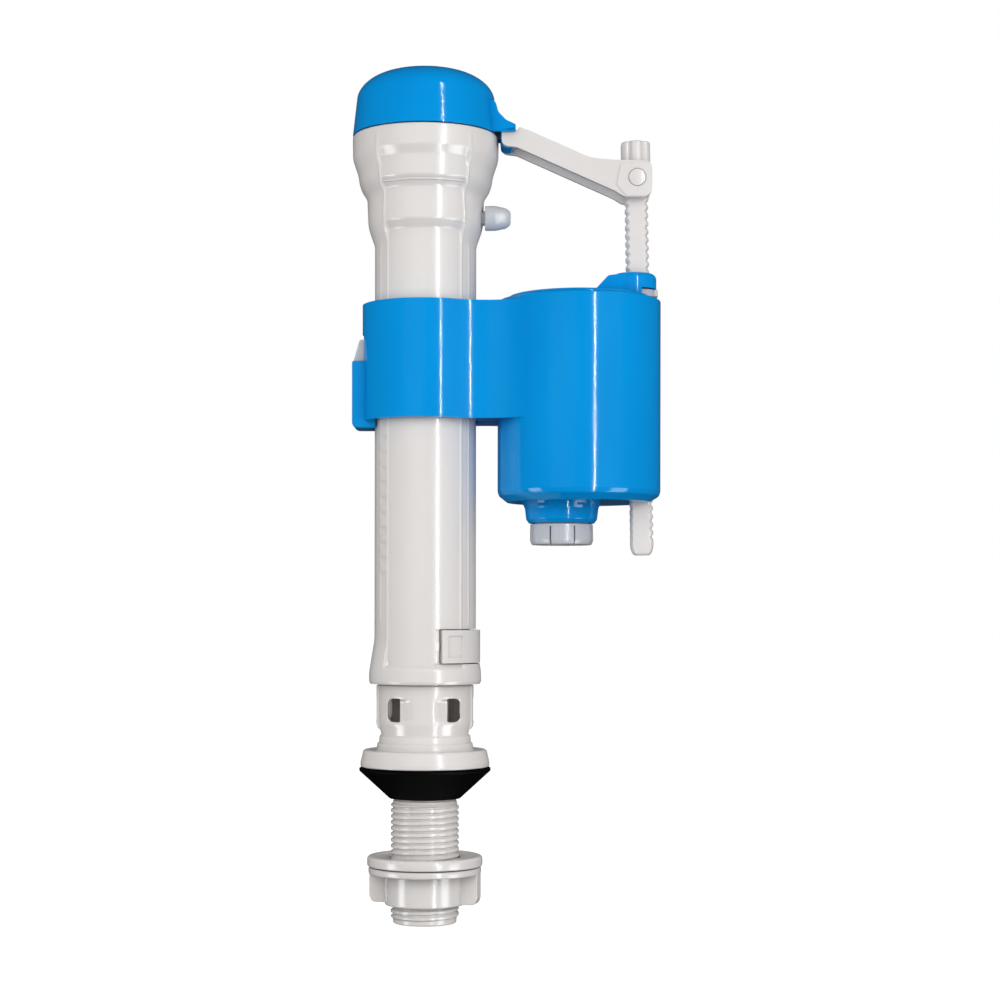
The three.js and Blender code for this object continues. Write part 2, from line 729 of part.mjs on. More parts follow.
function bucket() {
  const at = { x: BUCKET_X };
  const floor = BUCKET_BOTTOM + 2;
  const collar = disc(COLLAR_R, COLLAR_BOTTOM, COLLAR_TOP);
  const web = slab(webShape(), COLLAR_BOTTOM, COLLAR_TOP, 10);
  const pot = turned([
    [0, BUCKET_BOTTOM],
    [BUCKET_R - 2.9, BUCKET_BOTTOM],
    [BUCKET_R - 0.4, BUCKET_BOTTOM + 2],
    [BUCKET_R, BUCKET_BOTTOM + 3.4],
    [BUCKET_R, BUCKET_TOP],
    [0, BUCKET_TOP],
  ], at);
  const nozzle = turned([
    [0, NOZZLE_BOTTOM],
    [NOZZLE_R - 1.6, NOZZLE_BOTTOM],
    [NOZZLE_R - 0.6, NOZZLE_BOTTOM + 1.4],
    [NOZZLE_R, BUCKET_BOTTOM + 1],
    [0, BUCKET_BOTTOM + 1],
  ], { x: NOZZLE_X, segments: 40 });
  const guide = disc(GUIDE_BORE_R + GUIDE_WALL, BUCKET_BOTTOM, GUIDE_TOP, { x: GUIDE_X, segments: MEDIUM });
  const housing = box(HOUSING_X, -13, -HOUSING_HALF, HOUSING_HALF, HOUSING_BOTTOM, HOUSING_TOP);
  const hollow = disc(BUCKET_R - BUCKET_WALL, floor, BUCKET_TOP + 1, at).subtract(guide);
  const nozzleAt = { x: NOZZLE_X, segments: MEDIUM };
  const nozzleHollow = disc(NOZZLE_R - 2.8, NOZZLE_BOTTOM - 1, BUCKET_BOTTOM, nozzleAt);
  return joined(collar, web, pot, nozzle, housing)
    .subtract(hollow)
    .subtract(disc(GUIDE_BORE_R, 120, GUIDE_TOP + 1, { x: GUIDE_X, segments: MEDIUM }))
    .subtract(nozzleHollow)
    .subtract(disc(DRAIN_R, BUCKET_BOTTOM - 1, floor + 1, { x: NOZZLE_X, segments: COARSE }))
    .subtract(disc(COLLAR_BORE_R, COLLAR_BOTTOM - 5, COLLAR_TOP + 1))
    .subtract(box(-24, -15, -LATCH_HALF - GAP, LATCH_HALF + GAP, 156.6, 180.4))
    .subtract(crossPin(LATCH_PIN_R + GAP, LATCH_PIN_X, LATCH_PIN_Z, -5.9, 5.9));
}

function heightLatch() {
  const shape = outline([
    [-21.8, 157.6],
    [-18, 157.6],
    [-18, 172],
    [-17.3, 174],
    [-17.3, 177],
    [-19.8, 179.2],
    [-21.9, HOUSING_TOP],
  ]);
  return plate(shape, -LATCH_HALF, LATCH_HALF)
    .subtract(crossPin(LATCH_PIN_R + GAP, LATCH_PIN_X, LATCH_PIN_Z, -6, 6));
}

// Castellated cup that plugs the nozzle and carries the drain flap.
function drainRetainer() {
  const at = { x: NOZZLE_X, segments: 40 };
  const cup = ring(6.6, NOZZLE_R - 3.1, 118, 124, at);
  const crown = ring(6.6, 9.7, 116, NOZZLE_BOTTOM - GAP, at);
  let body = cup.add(crown);
  for (let angle = 22.5; angle < 180; angle += 45) {
    const slot = box(NOZZLE_X - 12, NOZZLE_X + 12, -0.4, 0.4, 115, 119.6);
    body = body.subtract(spun(slot, angle, NOZZLE_X));
  }
  const bars = [0, 90].map((angle) =>
    spun(box(NOZZLE_X - 7, NOZZLE_X + 7, -0.8, 0.8, 121.6, 123.4), angle, NOZZLE_X));
  return joined(body, ...bars);
}

piece("bucket", bucket(), BLUE);
piece("height_latch", heightLatch(), MILKY);
piece("latch_pin", crossPin(LATCH_PIN_R, LATCH_PIN_X, LATCH_PIN_Z, -5.8, 5.8), WHITE);
piece("drain_retainer", drainRetainer(), MILKY);
piece("drain_flap", disc(6.3, 124.4, 125.9, { x: NOZZLE_X, segments: COARSE }), SILICONE);

export default valve;
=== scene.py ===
import json
import math

import bmesh
import bpy
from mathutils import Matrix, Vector


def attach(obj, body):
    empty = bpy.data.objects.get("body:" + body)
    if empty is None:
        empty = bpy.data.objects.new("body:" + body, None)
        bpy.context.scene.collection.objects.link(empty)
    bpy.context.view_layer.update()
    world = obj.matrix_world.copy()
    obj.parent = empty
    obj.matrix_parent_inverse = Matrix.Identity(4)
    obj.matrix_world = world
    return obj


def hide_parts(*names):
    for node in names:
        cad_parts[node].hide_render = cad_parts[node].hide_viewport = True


# Looks of the toilet fill valve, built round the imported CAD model.
# Lengths in this script are millimetres; MM turns them into Blender's metres.

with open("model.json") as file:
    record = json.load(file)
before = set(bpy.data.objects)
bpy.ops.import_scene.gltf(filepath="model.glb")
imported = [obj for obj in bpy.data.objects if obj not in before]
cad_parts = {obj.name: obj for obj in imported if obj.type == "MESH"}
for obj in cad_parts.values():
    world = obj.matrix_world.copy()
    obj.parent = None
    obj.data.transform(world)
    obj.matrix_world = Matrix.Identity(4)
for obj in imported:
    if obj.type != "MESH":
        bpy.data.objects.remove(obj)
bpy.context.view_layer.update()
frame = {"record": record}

MM = 0.001
TAU = 2 * math.pi
COLUMNS = 128  # points round a large turned piece


# ---------------------------------------------------------------- meshes

def rounded(corners, closed=False):
    """A polyline from (a, b) or (a, b, radius) corners, with an arc where there is a radius."""
    found = []
    count = len(corners)
    for i, corner in enumerate(corners):
        here = Vector(corner[:2])
        radius = corner[2] if len(corner) > 2 else 0
        at_end = not closed and i in (0, count - 1)
        if radius <= 0 or at_end:
            found.append(tuple(here))
            continue
        back = Vector(corners[i - 1][:2]) - here
        ahead = Vector(corners[(i + 1) % count][:2]) - here
        inner = back.angle(ahead)
        if inner > math.pi - 0.02:
            found.append(tuple(here))
            continue
        reach = min(radius / math.tan(inner / 2), 0.49 * back.length, 0.49 * ahead.length)
        radius = reach * math.tan(inner / 2)
        inwards = (back.normalized() + ahead.normalized()).normalized()
        centre = here + inwards * (radius / math.sin(inner / 2))
        start = here + back.normalized() * reach - centre
        turn = start.angle_signed(here + ahead.normalized() * reach - centre)
        steps = max(3, round(abs(turn) * (2.2 + 1.2 * radius)))
        first = math.atan2(start.y, start.x)
        for k in range(steps + 1):
            a = first - turn * k / steps
            found.append((centre.x + radius * math.cos(a), centre.y + radius * math.sin(a)))
    return found


def build(name, points, faces):
    """A mesh object from points in millimetres, welded, with its faces turned outwards."""
    mesh = bpy.data.meshes.new(name)
    mesh.from_pydata([Vector(p) * MM for p in points], [], faces)
    work = bmesh.new()
    work.from_mesh(mesh)
    bmesh.ops.remove_doubles(work, verts=work.verts, dist=2e-6)
    bmesh.ops.dissolve_degenerate(work, edges=work.edges, dist=1e-6)
    bmesh.ops.recalc_face_normals(work, faces=work.faces)
    work.to_mesh(mesh)
    work.free()
    obj = bpy.data.objects.new(name, mesh)
    bpy.context.scene.collection.objects.link(obj)
    return obj


def skin(name, loops, closed=False):
    """A surface through loops of points. A loop of one point is a pole, and open ends are capped."""
    points = []
    starts = []
    for loop in loops:
        starts.append(len(points))
        points.extend(loop)
    faces = []
    count = len(loops)
    for a in range(count if closed else count - 1):
        b = (a + 1) % count
        size_a = len(loops[a])
        size_b = len(loops[b])
        size = max(size_a, size_b)
        for i in range(size):
            j = (i + 1) % size
            ring = [starts[a] + i % size_a, starts[a] + j % size_a]
            ring += [starts[b] + j % size_b, starts[b] + i % size_b]
            faces.append(list(dict.fromkeys(ring)))
    if not closed:
        for k in (0, count - 1):
            if len(loops[k]) > 2:
                faces.append([starts[k] + i for i in range(len(loops[k]))])
    return build(name, points, faces)


def circle(r, z, x=0, y=0, columns=COLUMNS):
    if r < 1e-4:
        return [(x, y, z)]
    return [(x + r * math.cos(TAU * i / columns), y + r * math.sin(TAU * i / columns), z)
            for i in range(columns)]


def lathe(name, corners, x=0, y=0, columns=COLUMNS):
    """A solid turned about the vertical axis at (x, y), from (radius, z[, fillet]) corners."""
    on_axis = corners[0][0] == 0
    outline = rounded(corners, closed=not on_axis)
    loops = [circle(r, z, x, y, columns) for r, z in outline]
    return skin(name, loops, closed=not on_axis)


def prism(name, corners, low, high, axis="y"):
    """An outline of (a, b[, fillet]) corners spread along axis: XZ along y or XY along z."""
    place = {
        "y": lambda a, b, c: (a, c, b),
        "z": lambda a, b, c: (a, b, c),
    }[axis]
    outline = rounded(corners, closed=True)
    return skin(name, [[place(a, b, c) for a, b in outline] for c in (low, high)])


def block(name, x0, x1, y0, y1, z0, z1):
    return prism(name, [(x0, y0), (x1, y0), (x1, y1), (x0, y1)], z0, z1, axis="z")


def rod_along(name, r, low, high, x=0, y=0, z=0, axis="y", columns=48, end=0.0):
    """A round bar along x or y with its ends rounded by end."""
    corners = [(0, low), (r, low, end), (r, high, end), (0, high)]
    obj = lathe(name, corners, columns=columns)
    for v in obj.data.vertices:
        a, b, c = v.co
        v.co = (a + x * MM, c, b + z * MM) if axis == "y" else (c, a + y * MM, b + z * MM)
    flip_to_outside(obj)
    return obj


def flip_to_outside(obj):
    work = bmesh.new()
    work.from_mesh(obj.data)
    bmesh.ops.recalc_face_normals(work, faces=work.faces)
    work.to_mesh(obj.data)
    work.free()


def turn_about(obj, angle, x=0, y=0):
    """Turns the mesh about the vertical axis through (x, y) by an angle in degrees."""
    c = math.cos(math.radians(angle))
    s = math.sin(math.radians(angle))
    for v in obj.data.vertices:
        px = v.co.x - x * MM
        py = v.co.y - y * MM
        v.co.x = x * MM + px * c - py * s
        v.co.y = y * MM + px * s + py * c
    return obj


def bake(obj):
    """Applies the object's modifiers to its mesh."""
    graph = bpy.context.evaluated_depsgraph_get()
    made = bpy.data.meshes.new_from_object(obj.evaluated_get(graph))
    obj.modifiers.clear()
    old = obj.data
    obj.data = made
    bpy.data.meshes.remove(old)
    return obj


def combine(obj, operation, others):
    for other in others:
        change = obj.modifiers.new(operation, "BOOLEAN")
        change.operation = operation
        change.solver = "EXACT"
        change.object = other
        bake(obj)
        bpy.data.objects.remove(other)
    return obj


def join(obj, *others):
    return combine(obj, "UNION", others)


def cut(obj, *others):
    return combine(obj, "DIFFERENCE", others)


def soften(obj, width, angle=38, segments=3):
    """Rounds the edges sharper than angle."""
    bevel = obj.modifiers.new("bevel", "BEVEL")
    bevel.width = width * MM
    bevel.segments = segments
    bevel.limit_method = "ANGLE"
    bevel.angle_limit = math.radians(angle)
    bevel.use_clamp_overlap = True
    return bake(obj)


def shade(obj, angle=32):
    obj.data.shade_smooth()
    obj.data.set_sharp_from_angle(angle=math.radians(angle))
    even = obj.modifiers.new("normals", "WEIGHTED_NORMAL")
    even.keep_sharp = True
    return bake(obj)


def smooth_step(a, b, t):
    t = min(1, max(0, (t - a) / (b - a)))
    return t * t * (3 - 2 * t)


def along(table, z, blur=0.5):
    """A value read from (z, value) rows, averaged over a window so that steps get soft corners."""
    total = 0
    samples = 5
    for k in range(samples):
        at = z + blur * (2 * k / (samples - 1) - 1)
        value = table[0][1] if at <= table[0][0] else table[-1][1]
        for (z0, v0), (z1, v1) in zip(table, table[1:]):
            if z0 <= at <= z1 and z1 > z0:
                value = v0 + (v1 - v0) * (at - z0) / (z1 - z0)
                break
        total += value
    return total / samples


# ---------------------------------------------------------------- materials

def new_material(name):
    material = bpy.data.materials.new(name)
    material.use_nodes = True
    nodes = material.node_tree.nodes
    links = material.node_tree.links
    return material, nodes, links, nodes["Principled BSDF"]


def noise(nodes, links, coordinates, scale, detail=2.0, stretch=(1, 1, 1)):
    mapping = nodes.new("ShaderNodeMapping")
    mapping.inputs["Scale"].default_value = stretch
    links.new(coordinates, mapping.inputs["Vector"])
    texture = nodes.new("ShaderNodeTexNoise")
    texture.inputs["Scale"].default_value = scale
    texture.inputs["Detail"].default_value = detail
    links.new(mapping.outputs["Vector"], texture.inputs["Vector"])
    return texture.outputs["Fac"]


def ramp(nodes, links, factor, stops):
    """stops is a list of (position, colour)."""
    made = nodes.new("ShaderNodeValToRGB")
    links.new(factor, made.inputs["Fac"])
    elements = made.color_ramp.elements
    while len(elements) < len(stops):
        elements.new(0.5)
    for element, (position, colour) in zip(elements, stops):
        element.position = position
        element.color = (*colour, 1)
    return made.outputs["Color"]


def spread(nodes, links, factor, low, high):
    """Maps a factor of 0 to 1 onto low to high."""
    made = nodes.new("ShaderNodeMapRange")
    made.inputs["To Min"].default_value = low
    made.inputs["To Max"].default_value = high
    links.new(factor, made.inputs["Value"])
    return made.outputs["Result"]


def bump(nodes, links, height, strength, distance, under=None):
    made = nodes.new("ShaderNodeBump")
    made.inputs["Strength"].default_value = strength
    made.inputs["Distance"].default_value = distance
    links.new(height, made.inputs["Height"])
    if under is not None:
        links.new(under, made.inputs["Normal"])
    return made.outputs["Normal"]


def painted_shade_mask(nodes, distance):
    """Mask for painted shade: 1 on open surfaces, falling towards 0 in corners."""
    made = nodes.new("ShaderNodeAmbientOcclusion")
    made.samples = 4
    made.inputs["Distance"].default_value = distance
    return made.outputs["AO"]


def mixed(nodes, links, factor, first, second):
    made = nodes.new("ShaderNodeMix")
    made.data_type = "RGBA"
    links.new(factor, made.inputs["Factor"])
    for slot_name, value in (("A", first), ("B", second)):
        target = [i for i in made.inputs if i.name == slot_name and i.type == "RGBA"][0]
        if isinstance(value, tuple):
            target.default_value = (*value, 1)
        else:
            links.new(value, target)
    return [o for o in made.outputs if o.type == "RGBA"][0]


def moulded_plastic(name, light, dark, shadow, roughness, waviness, translucency, coat, mirror=0.5):
    """Injection-moulded plastic: colour drift, painted shade darkening the corners, flow waves and a fine
    mould grain.
    """
    material, nodes, links, shader = new_material(name)
    where = nodes.new("ShaderNodeTexCoord").outputs["Object"]
    drift = noise(nodes, links, where, 55, 3.0, (1, 1, 0.35))
    body = ramp(nodes, links, drift, [(0.3, dark), (0.7, light)])
    # Painted shade: corners and creases are darkened towards the shadow colour by an ambient occlusion mask.
    corner = painted_shade_mask(nodes, 4 * MM)
    colour = mixed(nodes, links, spread(nodes, links, corner, 0.0, 1.0), shadow, body)
    links.new(colour, shader.inputs["Base Color"])
    streaks = noise(nodes, links, where, 260, 4.0, (1, 1, 0.2))
    links.new(spread(nodes, links, streaks, *roughness), shader.inputs["Roughness"])
    waves = noise(nodes, links, where, 90, 1.0, (1, 1, 0.6))
    grain = noise(nodes, links, where, 3200, 2.0)
    normal = bump(nodes, links, waves, waviness, 0.4 * MM)
    normal = bump(nodes, links, grain, 0.05, 0.03 * MM, normal)
    links.new(normal, shader.inputs["Normal"])
    shader.inputs["Subsurface Weight"].default_value = translucency
    shader.inputs["Subsurface Radius"].default_value = (1.0, 0.9, 0.8)
    shader.inputs["Subsurface Scale"].default_value = 3 * MM
    shader.inputs["Coat Weight"].default_value = coat
    shader.inputs["Coat Roughness"].default_value = 0.06
    shader.inputs["IOR"].default_value = 1.49
    shader.inputs["Specular IOR Level"].default_value = mirror
    return material


def moulded_rubber(name, light, dark, roughness):
    """Moulded rubber: matt, with a fine talc-dusted grain and slightly paler worn patches."""
    material, nodes, links, shader = new_material(name)
    where = nodes.new("ShaderNodeTexCoord").outputs["Object"]
    patches = noise(nodes, links, where, 130, 5.0)
    links.new(ramp(nodes, links, patches, [(0.35, dark), (0.75, light)]), shader.inputs["Base Color"])
    links.new(spread(nodes, links, patches, *roughness), shader.inputs["Roughness"])
    grain = noise(nodes, links, where, 2200, 3.0)
    links.new(bump(nodes, links, grain, 0.35, 0.05 * MM), shader.inputs["Normal"])
    shader.inputs["Specular IOR Level"].default_value = 0.05
    return material


WHITE = moulded_plastic(
    "white_plastic", light=(0.83, 0.80, 0.78), dark=(0.79, 0.755, 0.735), shadow=(0.55, 0.53, 0.52),
    roughness=(0.16, 0.27), waviness=0.05, translucency=0.12, coat=0.1)
MILKY = moulded_plastic(
    "milky_plastic", light=(0.62, 0.64, 0.68), dark=(0.56, 0.58, 0.62), shadow=(0.45, 0.47, 0.5),
    roughness=(0.2, 0.32), waviness=0.05, translucency=0.45, coat=0.1)
BLUE = moulded_plastic(
    "blue_plastic", light=(0.001, 0.315, 0.79), dark=(0.001, 0.285, 0.73), shadow=(0.001, 0.1, 0.32),
    roughness=(0.07, 0.13), waviness=0.07, translucency=0.0, coat=0.0, mirror=0.25)
RUBBER = moulded_rubber(
    "black_rubber", light=(0.0022, 0.0022, 0.0024), dark=(0.0008, 0.0008, 0.001),
    roughness=(0.5, 0.7))
SILICONE = moulded_rubber(
    "silicone", light=(0.10, 0.105, 0.115), dark=(0.06, 0.063, 0.07), roughness=(0.45, 0.6))

SLOTS = {
    "white_plastic": WHITE,
    "milky_plastic": MILKY,
    "blue_plastic": BLUE,
    "black_rubber": RUBBER,
    "silicone": SILICONE,
}
NODE_SLOT = {part["node"]: part["material_slot"] for part in frame["record"]["subparts"]}
NODE_BODY = {
    node: body
    for body, members in frame["record"]["behaviour"]["bodies"].items()
    for node in members
}


def finish_piece(obj, node, angle=32):
    """Shades a piece, gives it its node's material and body, and puts it in the node's place."""
    shade(obj, angle)
    slot_name = NODE_SLOT[node]
    obj.data.materials.clear()
    obj.data.materials.append(SLOTS[slot_name])
    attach(obj, NODE_BODY[node])
    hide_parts(node)
    return obj


# ---------------------------------------------------------------- base and threaded shank

THREAD_PITCH = 1.814
THREAD_LOW = 1.2
THREAD_HIGH = 37.2
THREAD_RUNOUT = 0.9  # length over which the thread rises from the shank at each end
ROOT_R = 9.75
CREST_R = 10.45
SHANK_BORE_R = 6.8
WINDOW_Z = 65.6
WINDOW_HALF_H = 3.6
FRONT_HALF_W = 1.95
BACK_HALF_W = 2.5
FRONT_WINDOWS = 39  # degrees each side of the front
BACK_WINDOWS = 110  # also counted from the front
OUTLET_R = 14.4
SCOOP_DEPTH = 0.85
PAD_HALF_ANGLE = 13  # the raised pads at the two sides of the outlet housing
PAD_EDGE = 1.2
PAD_RISE = 0.5
SLEEVE_R = 13.7  # the shank's upper part, which slides in the tube
SLEEVE_BORE_R = 12.3
SLEEVE_TOP = 150
SIDES = (1, -1)


def thread_height(z, turn, low, high):
    """How far a thread stands above its root, 0 to 1, at height z and at a share of a turn."""
    phase = (z / THREAD_PITCH - turn) % 1
    tooth = 1 - abs(2 * phase - 1)
    flank = smooth_step(0.08, 0.62, tooth)
    start = smooth_step(low, low + THREAD_RUNOUT, z)
    end = 1 - smooth_step(high - THREAD_RUNOUT, high, z)
    return flank * start * end


def fine_rows(outline, step, low, high):
    """Adds points to an (r, z) outline between two heights, at most step apart in z."""
    found = [outline[0]]
    for (r0, z0), (r1, z1) in zip(outline, outline[1:]):
        inside = low <= min(z0, z1) and max(z0, z1) <= high
        count = max(1, math.ceil(abs(z1 - z0) / step)) if inside else 1
        for k in range(1, count + 1):
            found.append((r0 + (r1 - r0) * k / count, z0 + (z1 - z0) * k / count))
    return found


def modulated(name, outline, columns, radius, closed=True):
    """A turned surface whose radius at each point comes from radius(angle, r, z)."""
    loops = []
    for r, z in outline:
        loop = []
        for i in range(columns):
            a = TAU * i / columns
            at = radius(a, r, z)
            loop.append((at * math.cos(a), at * math.sin(a), z))
        loops.append(loop)
    return skin(name, loops, closed)


def signed_turn(angle):
    """An angle in degrees brought to between -180 and 180."""
    return (angle + 180) % 360 - 180


def scoop(a, z):
    """How deep the wall is hollowed beside the four windows, 0 to 1."""
    depth = 0
    level = 1 - smooth_step(2.4, 3.9, abs(z - WINDOW_Z))
    for side in SIDES:
        for centre in (FRONT_WINDOWS, BACK_WINDOWS):
            off = signed_turn(math.degrees(a) + 90 - side * centre) * side
            slope = smooth_step(-28, -9, off) * (1 - smooth_step(9, 12, off))
            depth = max(depth, slope * level)
    return depth


def shank_radius(a, r, z):
    """The outside of the shank: the thread below, and the pads and scoops of the outlet housing."""
    if z < THREAD_HIGH and abs(r - ROOT_R) < 0.2:
        return r + (CREST_R - ROOT_R) * thread_height(z, a / TAU, THREAD_LOW, THREAD_HIGH)
    if r > 13.4 and 57.6 < z < 72.9:
        to_side = math.degrees(math.acos(min(1, abs(math.cos(a)))))
        pad = 1 - smooth_step(PAD_HALF_ANGLE - PAD_EDGE, PAD_HALF_ANGLE + PAD_EDGE, to_side)
        pad *= smooth_step(59.4, 59.9, z)
        return r + PAD_RISE * pad - SCOOP_DEPTH * scoop(a, z)
    return r


def window_cutter(side, half_w, x=0, deep=-11):
    """A D-shaped cutter facing the front, with its round side away from the middle."""
    corners = [
        (-half_w, -WINDOW_HALF_H, 0.5), (half_w, -WINDOW_HALF_H, 3.4),
        (half_w, WINDOW_HALF_H, 3.4), (-half_w, WINDOW_HALF_H, 0.5),
    ]
    outline = [(side * (x + u), WINDOW_Z + z, r) for u, z, r in corners]
    return prism("window_cutter", outline, -17, deep)


def base_shank():
    corners = [
        (SHANK_BORE_R, 0, 0.4), (ROOT_R, 0, 0.5), (ROOT_R, 37.5, 0.2), (9.35, 37.8, 0.2), (9.3, 47.9, 0.3),
        (19.8, 47.9, 0.5), (19.75, 49.4, 0.8), (18.9, 53.2, 0.9), (14.9, 53.2, 0.6), (14.6, 55.2, 0.5),
        (14.1, 55.4, 0.2), (13.95, 57.4, 0.5), (13.5, 57.7, 0.6), (13.9, 59.4, 1.5), (OUTLET_R, 61.2, 2.5),
        (OUTLET_R, 73.1, 0.5), (SLEEVE_R, 73.1, 0.1), (SLEEVE_R, SLEEVE_TOP, 0.5),
        (SLEEVE_BORE_R, SLEEVE_TOP, 0.4), (SLEEVE_BORE_R, 56, 2),
        (8.9, 54, 1), (7.6, 54, 0.3), (7.6, 44, 0.2), (SHANK_BORE_R, 44, 0.2),
    ]
    outline = rounded(corners, closed=True)
    outline = fine_rows(outline + outline[:1], 0.2, 0.3, 37.8)
    outline = fine_rows(outline, 0.3, 57.5, 73.2)[:-1]
    body = modulated("base_shank_moulded", outline, 240, shank_radius)
    front_x = OUTLET_R * math.sin(math.radians(FRONT_WINDOWS))
    for side in SIDES:
        front = window_cutter(side, FRONT_HALF_W, front_x, -5)
        back = turn_about(window_cutter(side, BACK_HALF_W), side * BACK_WINDOWS)
        cut(body, front, back)
        slit = block("slit", 12.9, 16, -2.7, 2.7, 57.7, 59.4)
        cut(body, turn_about(slit, 90 - 90 * side))
    notches = [block("notch", 12.9, 15, -5, 5, z - 1, z + 1) for z in range(84, SLEEVE_TOP, 12)]
    return cut(body, *notches)


finish_piece(base_shank(), "base_shank", 30)


def strainer():
    rim = lathe("inlet_strainer_moulded", [
        (5.6, 0, 0.15), (6.5, 0, 0.3), (6.5, 9, 0.3), (5.6, 9, 0.2),
    ], columns=64)
    hub = lathe("hub", [(0, 0), (3.2, 0, 0.4), (3.2, 1.4, 0.4), (0, 1.4)], columns=48)
    spokes = []
    for i in range(4):
        spokes.append(turn_about(block("spoke", 2.4, 6, -0.6, 0.6, 0, 1.4), 90 * i))
    join(rim, hub, *spokes)
    return soften(rim, 0.15, 50, 2)


finish_piece(strainer(), "inlet_strainer")

restrictor = lathe("flow_restrictor_moulded", [
    (2.0, 9.5, 0.3), (6.5, 9.5, 0.4), (6.5, 12, 0.4), (3.2, 12, 0.4), (2.0, 11.2, 0.3),
], columns=64)
finish_piece(restrictor, "flow_restrictor")

cone = lathe("cone_washer_moulded", [
    (9.65, 38.2, 0.2), (10.9, 38.2, 0.5), (20.15, 46.7, 0.5), (20.2, 47.6, 0.3), (9.65, 47.6, 0.2),
])
finish_piece(cone, "cone_washer")

pipe = lathe("supply_pipe_moulded", [
    (5.95, 44.3, 0.3), (7.3, 44.3, 0.3), (7.3, 152, 0.4), (5.95, 152, 0.4),
], columns=96)
finish_piece(pipe, "supply_pipe")


# ---------------------------------------------------------------- washer and wing nut

washer = lathe("friction_washer_moulded", [
    (10.75, 17.5, 0.3), (17.7, 17.5, 0.5), (17.7, 20.6, 0.9), (15.6, 20.6, 0.8), (14.6, 20.1, 0.8),
    (10.75, 20.1, 0.3),
])
finish_piece(washer, "friction_washer")


def nut_bore(a, r, z):
    """The nut's thread, cut into its bore; its outside stays round."""
    if r > 11.3:
        return r
    return r + 0.75 * thread_height(z - 0.9, a / TAU, 5.8, 17.0) - 0.02


def wing_nut():
    corners = [
        (10.78, 5.6, 0.3), (12.3, 5.6, 0.5), (12.3, 14.9, 0.6), (17.3, 15.1, 0.6), (17.3, 17.2, 0.5),
        (10.78, 17.2, 0.3),
    ]
    outline = rounded(corners, closed=True)
    outline = fine_rows(outline + outline[:1], 0.25, 5.5, 17.3)[:-1]
    body = modulated("wing_nut_moulded", outline, 128, nut_bore)
    for angle in (-14, 166):
        wing = prism("wing", [
            (11.9, 6, 0.3), (16.4, 6, 1.6), (17.2, 8, 1.2), (17.2, 16.2), (11.9, 16.2),
        ], -2.4, 2.4)
        soften(wing, 0.7, 50, 4)
        join(body, turn_about(wing, angle))
    return body


finish_piece(wing_nut(), "wing_nut", 30)


# ---------------------------------------------------------------- upper tube and head

TUBE_R = 15.55
TUBE_BORE_R = 14.1
TUBE_LOW = 73.4
RACK_PITCH = 4.6
RACK_LOW = 107
RACK_HIGH = 190
HEAD_TOP = 240.9
PLUG_Y = -2
PLUG_Z = 216
PILOT_X = 9
CLIP_LOW = 79.6  # the slot of the locking clip
CLIP_HIGH = 90.2
CLIP_HALF = 70  # degrees each side of +X that the locking clip reaches
STRIP_IN = 45.5  # degrees off the front or back where the latch rack begins
STRIP_OUT = 59.5
RIB_RISE = 0.32
STRIP_RISE = 0.28
TOOTH_RISE = 0.24

PANEL_ROWS = [
    (TUBE_LOW, 17.2), (77.9, 17.1), (79.6, 15.6), (210.9, TUBE_R), (213.6, 17.6), (223.0, 17.9),
    (226.2, 20.35), (232.2, 20.6), (234.8, 22.2), (HEAD_TOP, 22.4),
]
FLANK_ROWS = [
    (TUBE_LOW, 17.2), (77, 17.2), (87, TUBE_R), (207.5, TUBE_R), (211.8, 17.1), (214, 17.6), (222, 17.9),
    (224, 19.4), (226.5, 20.3), (229, 20.6), (234, 22.3), (HEAD_TOP, 22.4),
]
RIB_ROWS = [(TUBE_LOW, STRIP_IN), (208, STRIP_IN), (217, 43), (234, 39), (242, 38.5)]


def bead(off, centre, radius):
    """A narrow rounded ridge along the line at centre degrees, 0 to 1."""
    return math.exp(-(((off - centre) * radius / 46) ** 2) * 4.5)


def tube_radius(a, z):
    """The outside of the tube: stepped panels front and back, tapered flanks, ribs and latch racks."""
    off = math.degrees(math.asin(abs(math.cos(a))))
    rib = along(RIB_ROWS, z, 0.1)
    flank = smooth_step(rib - 1.2, rib + 1.2, off)
    radius = along(PANEL_ROWS, z, 0.2) * (1 - flank) + along(FLANK_ROWS, z, 0.9) * flank
    fade = smooth_step(76, 90, z) * (1 - smooth_step(237.5, 240, z))
    radius += RIB_RISE * bead(off, rib, radius) * fade
    on_tube = smooth_step(90, 94, z) * (1 - smooth_step(204, 209, z))
    radius += STRIP_RISE * bead(off, STRIP_OUT, radius) * on_tube
    if math.cos(a) < 0 and RACK_LOW < z < RACK_HIGH:
        step = (z - RACK_LOW) % RACK_PITCH
        tooth = smooth_step(0, 0.6, step) * (1 - smooth_step(2.6, 4.2, step))
        between = smooth_step(STRIP_IN + 0.5, STRIP_IN + 2.5, off)
        between *= 1 - smooth_step(STRIP_OUT - 2.5, STRIP_OUT - 0.5, off)
        radius += TOOTH_RISE * tooth * between
    return radius


def tube_rows():
    """Heights for the outside of the tube: close together at the steps and the rack, wider elsewhere."""
    rows = []
    z = TUBE_LOW
    while z < HEAD_TOP:
        rows.append(z)
        if z < 92 or z > 205:
            z += 0.35
        else:
            z += RACK_PITCH / 10
    return rows + [HEAD_TOP]


def sector_outline(inner, outer, half, steps=48):
    a = [math.radians(half * (2 * k / steps - 1)) for k in range(steps + 1)]
    points = [(outer * math.cos(t), outer * math.sin(t)) for t in a]
    return points + [(inner * math.cos(t), inner * math.sin(t)) for t in reversed(a)]


def sector_prism(name, inner, outer, half, low, high):
    """Part of a ring about the tube's axis, half degrees each side of +X."""
    outline = sector_outline(inner, outer, half)
    return skin(name, [[(x, y, z) for x, y in outline] for z in (low, high)])


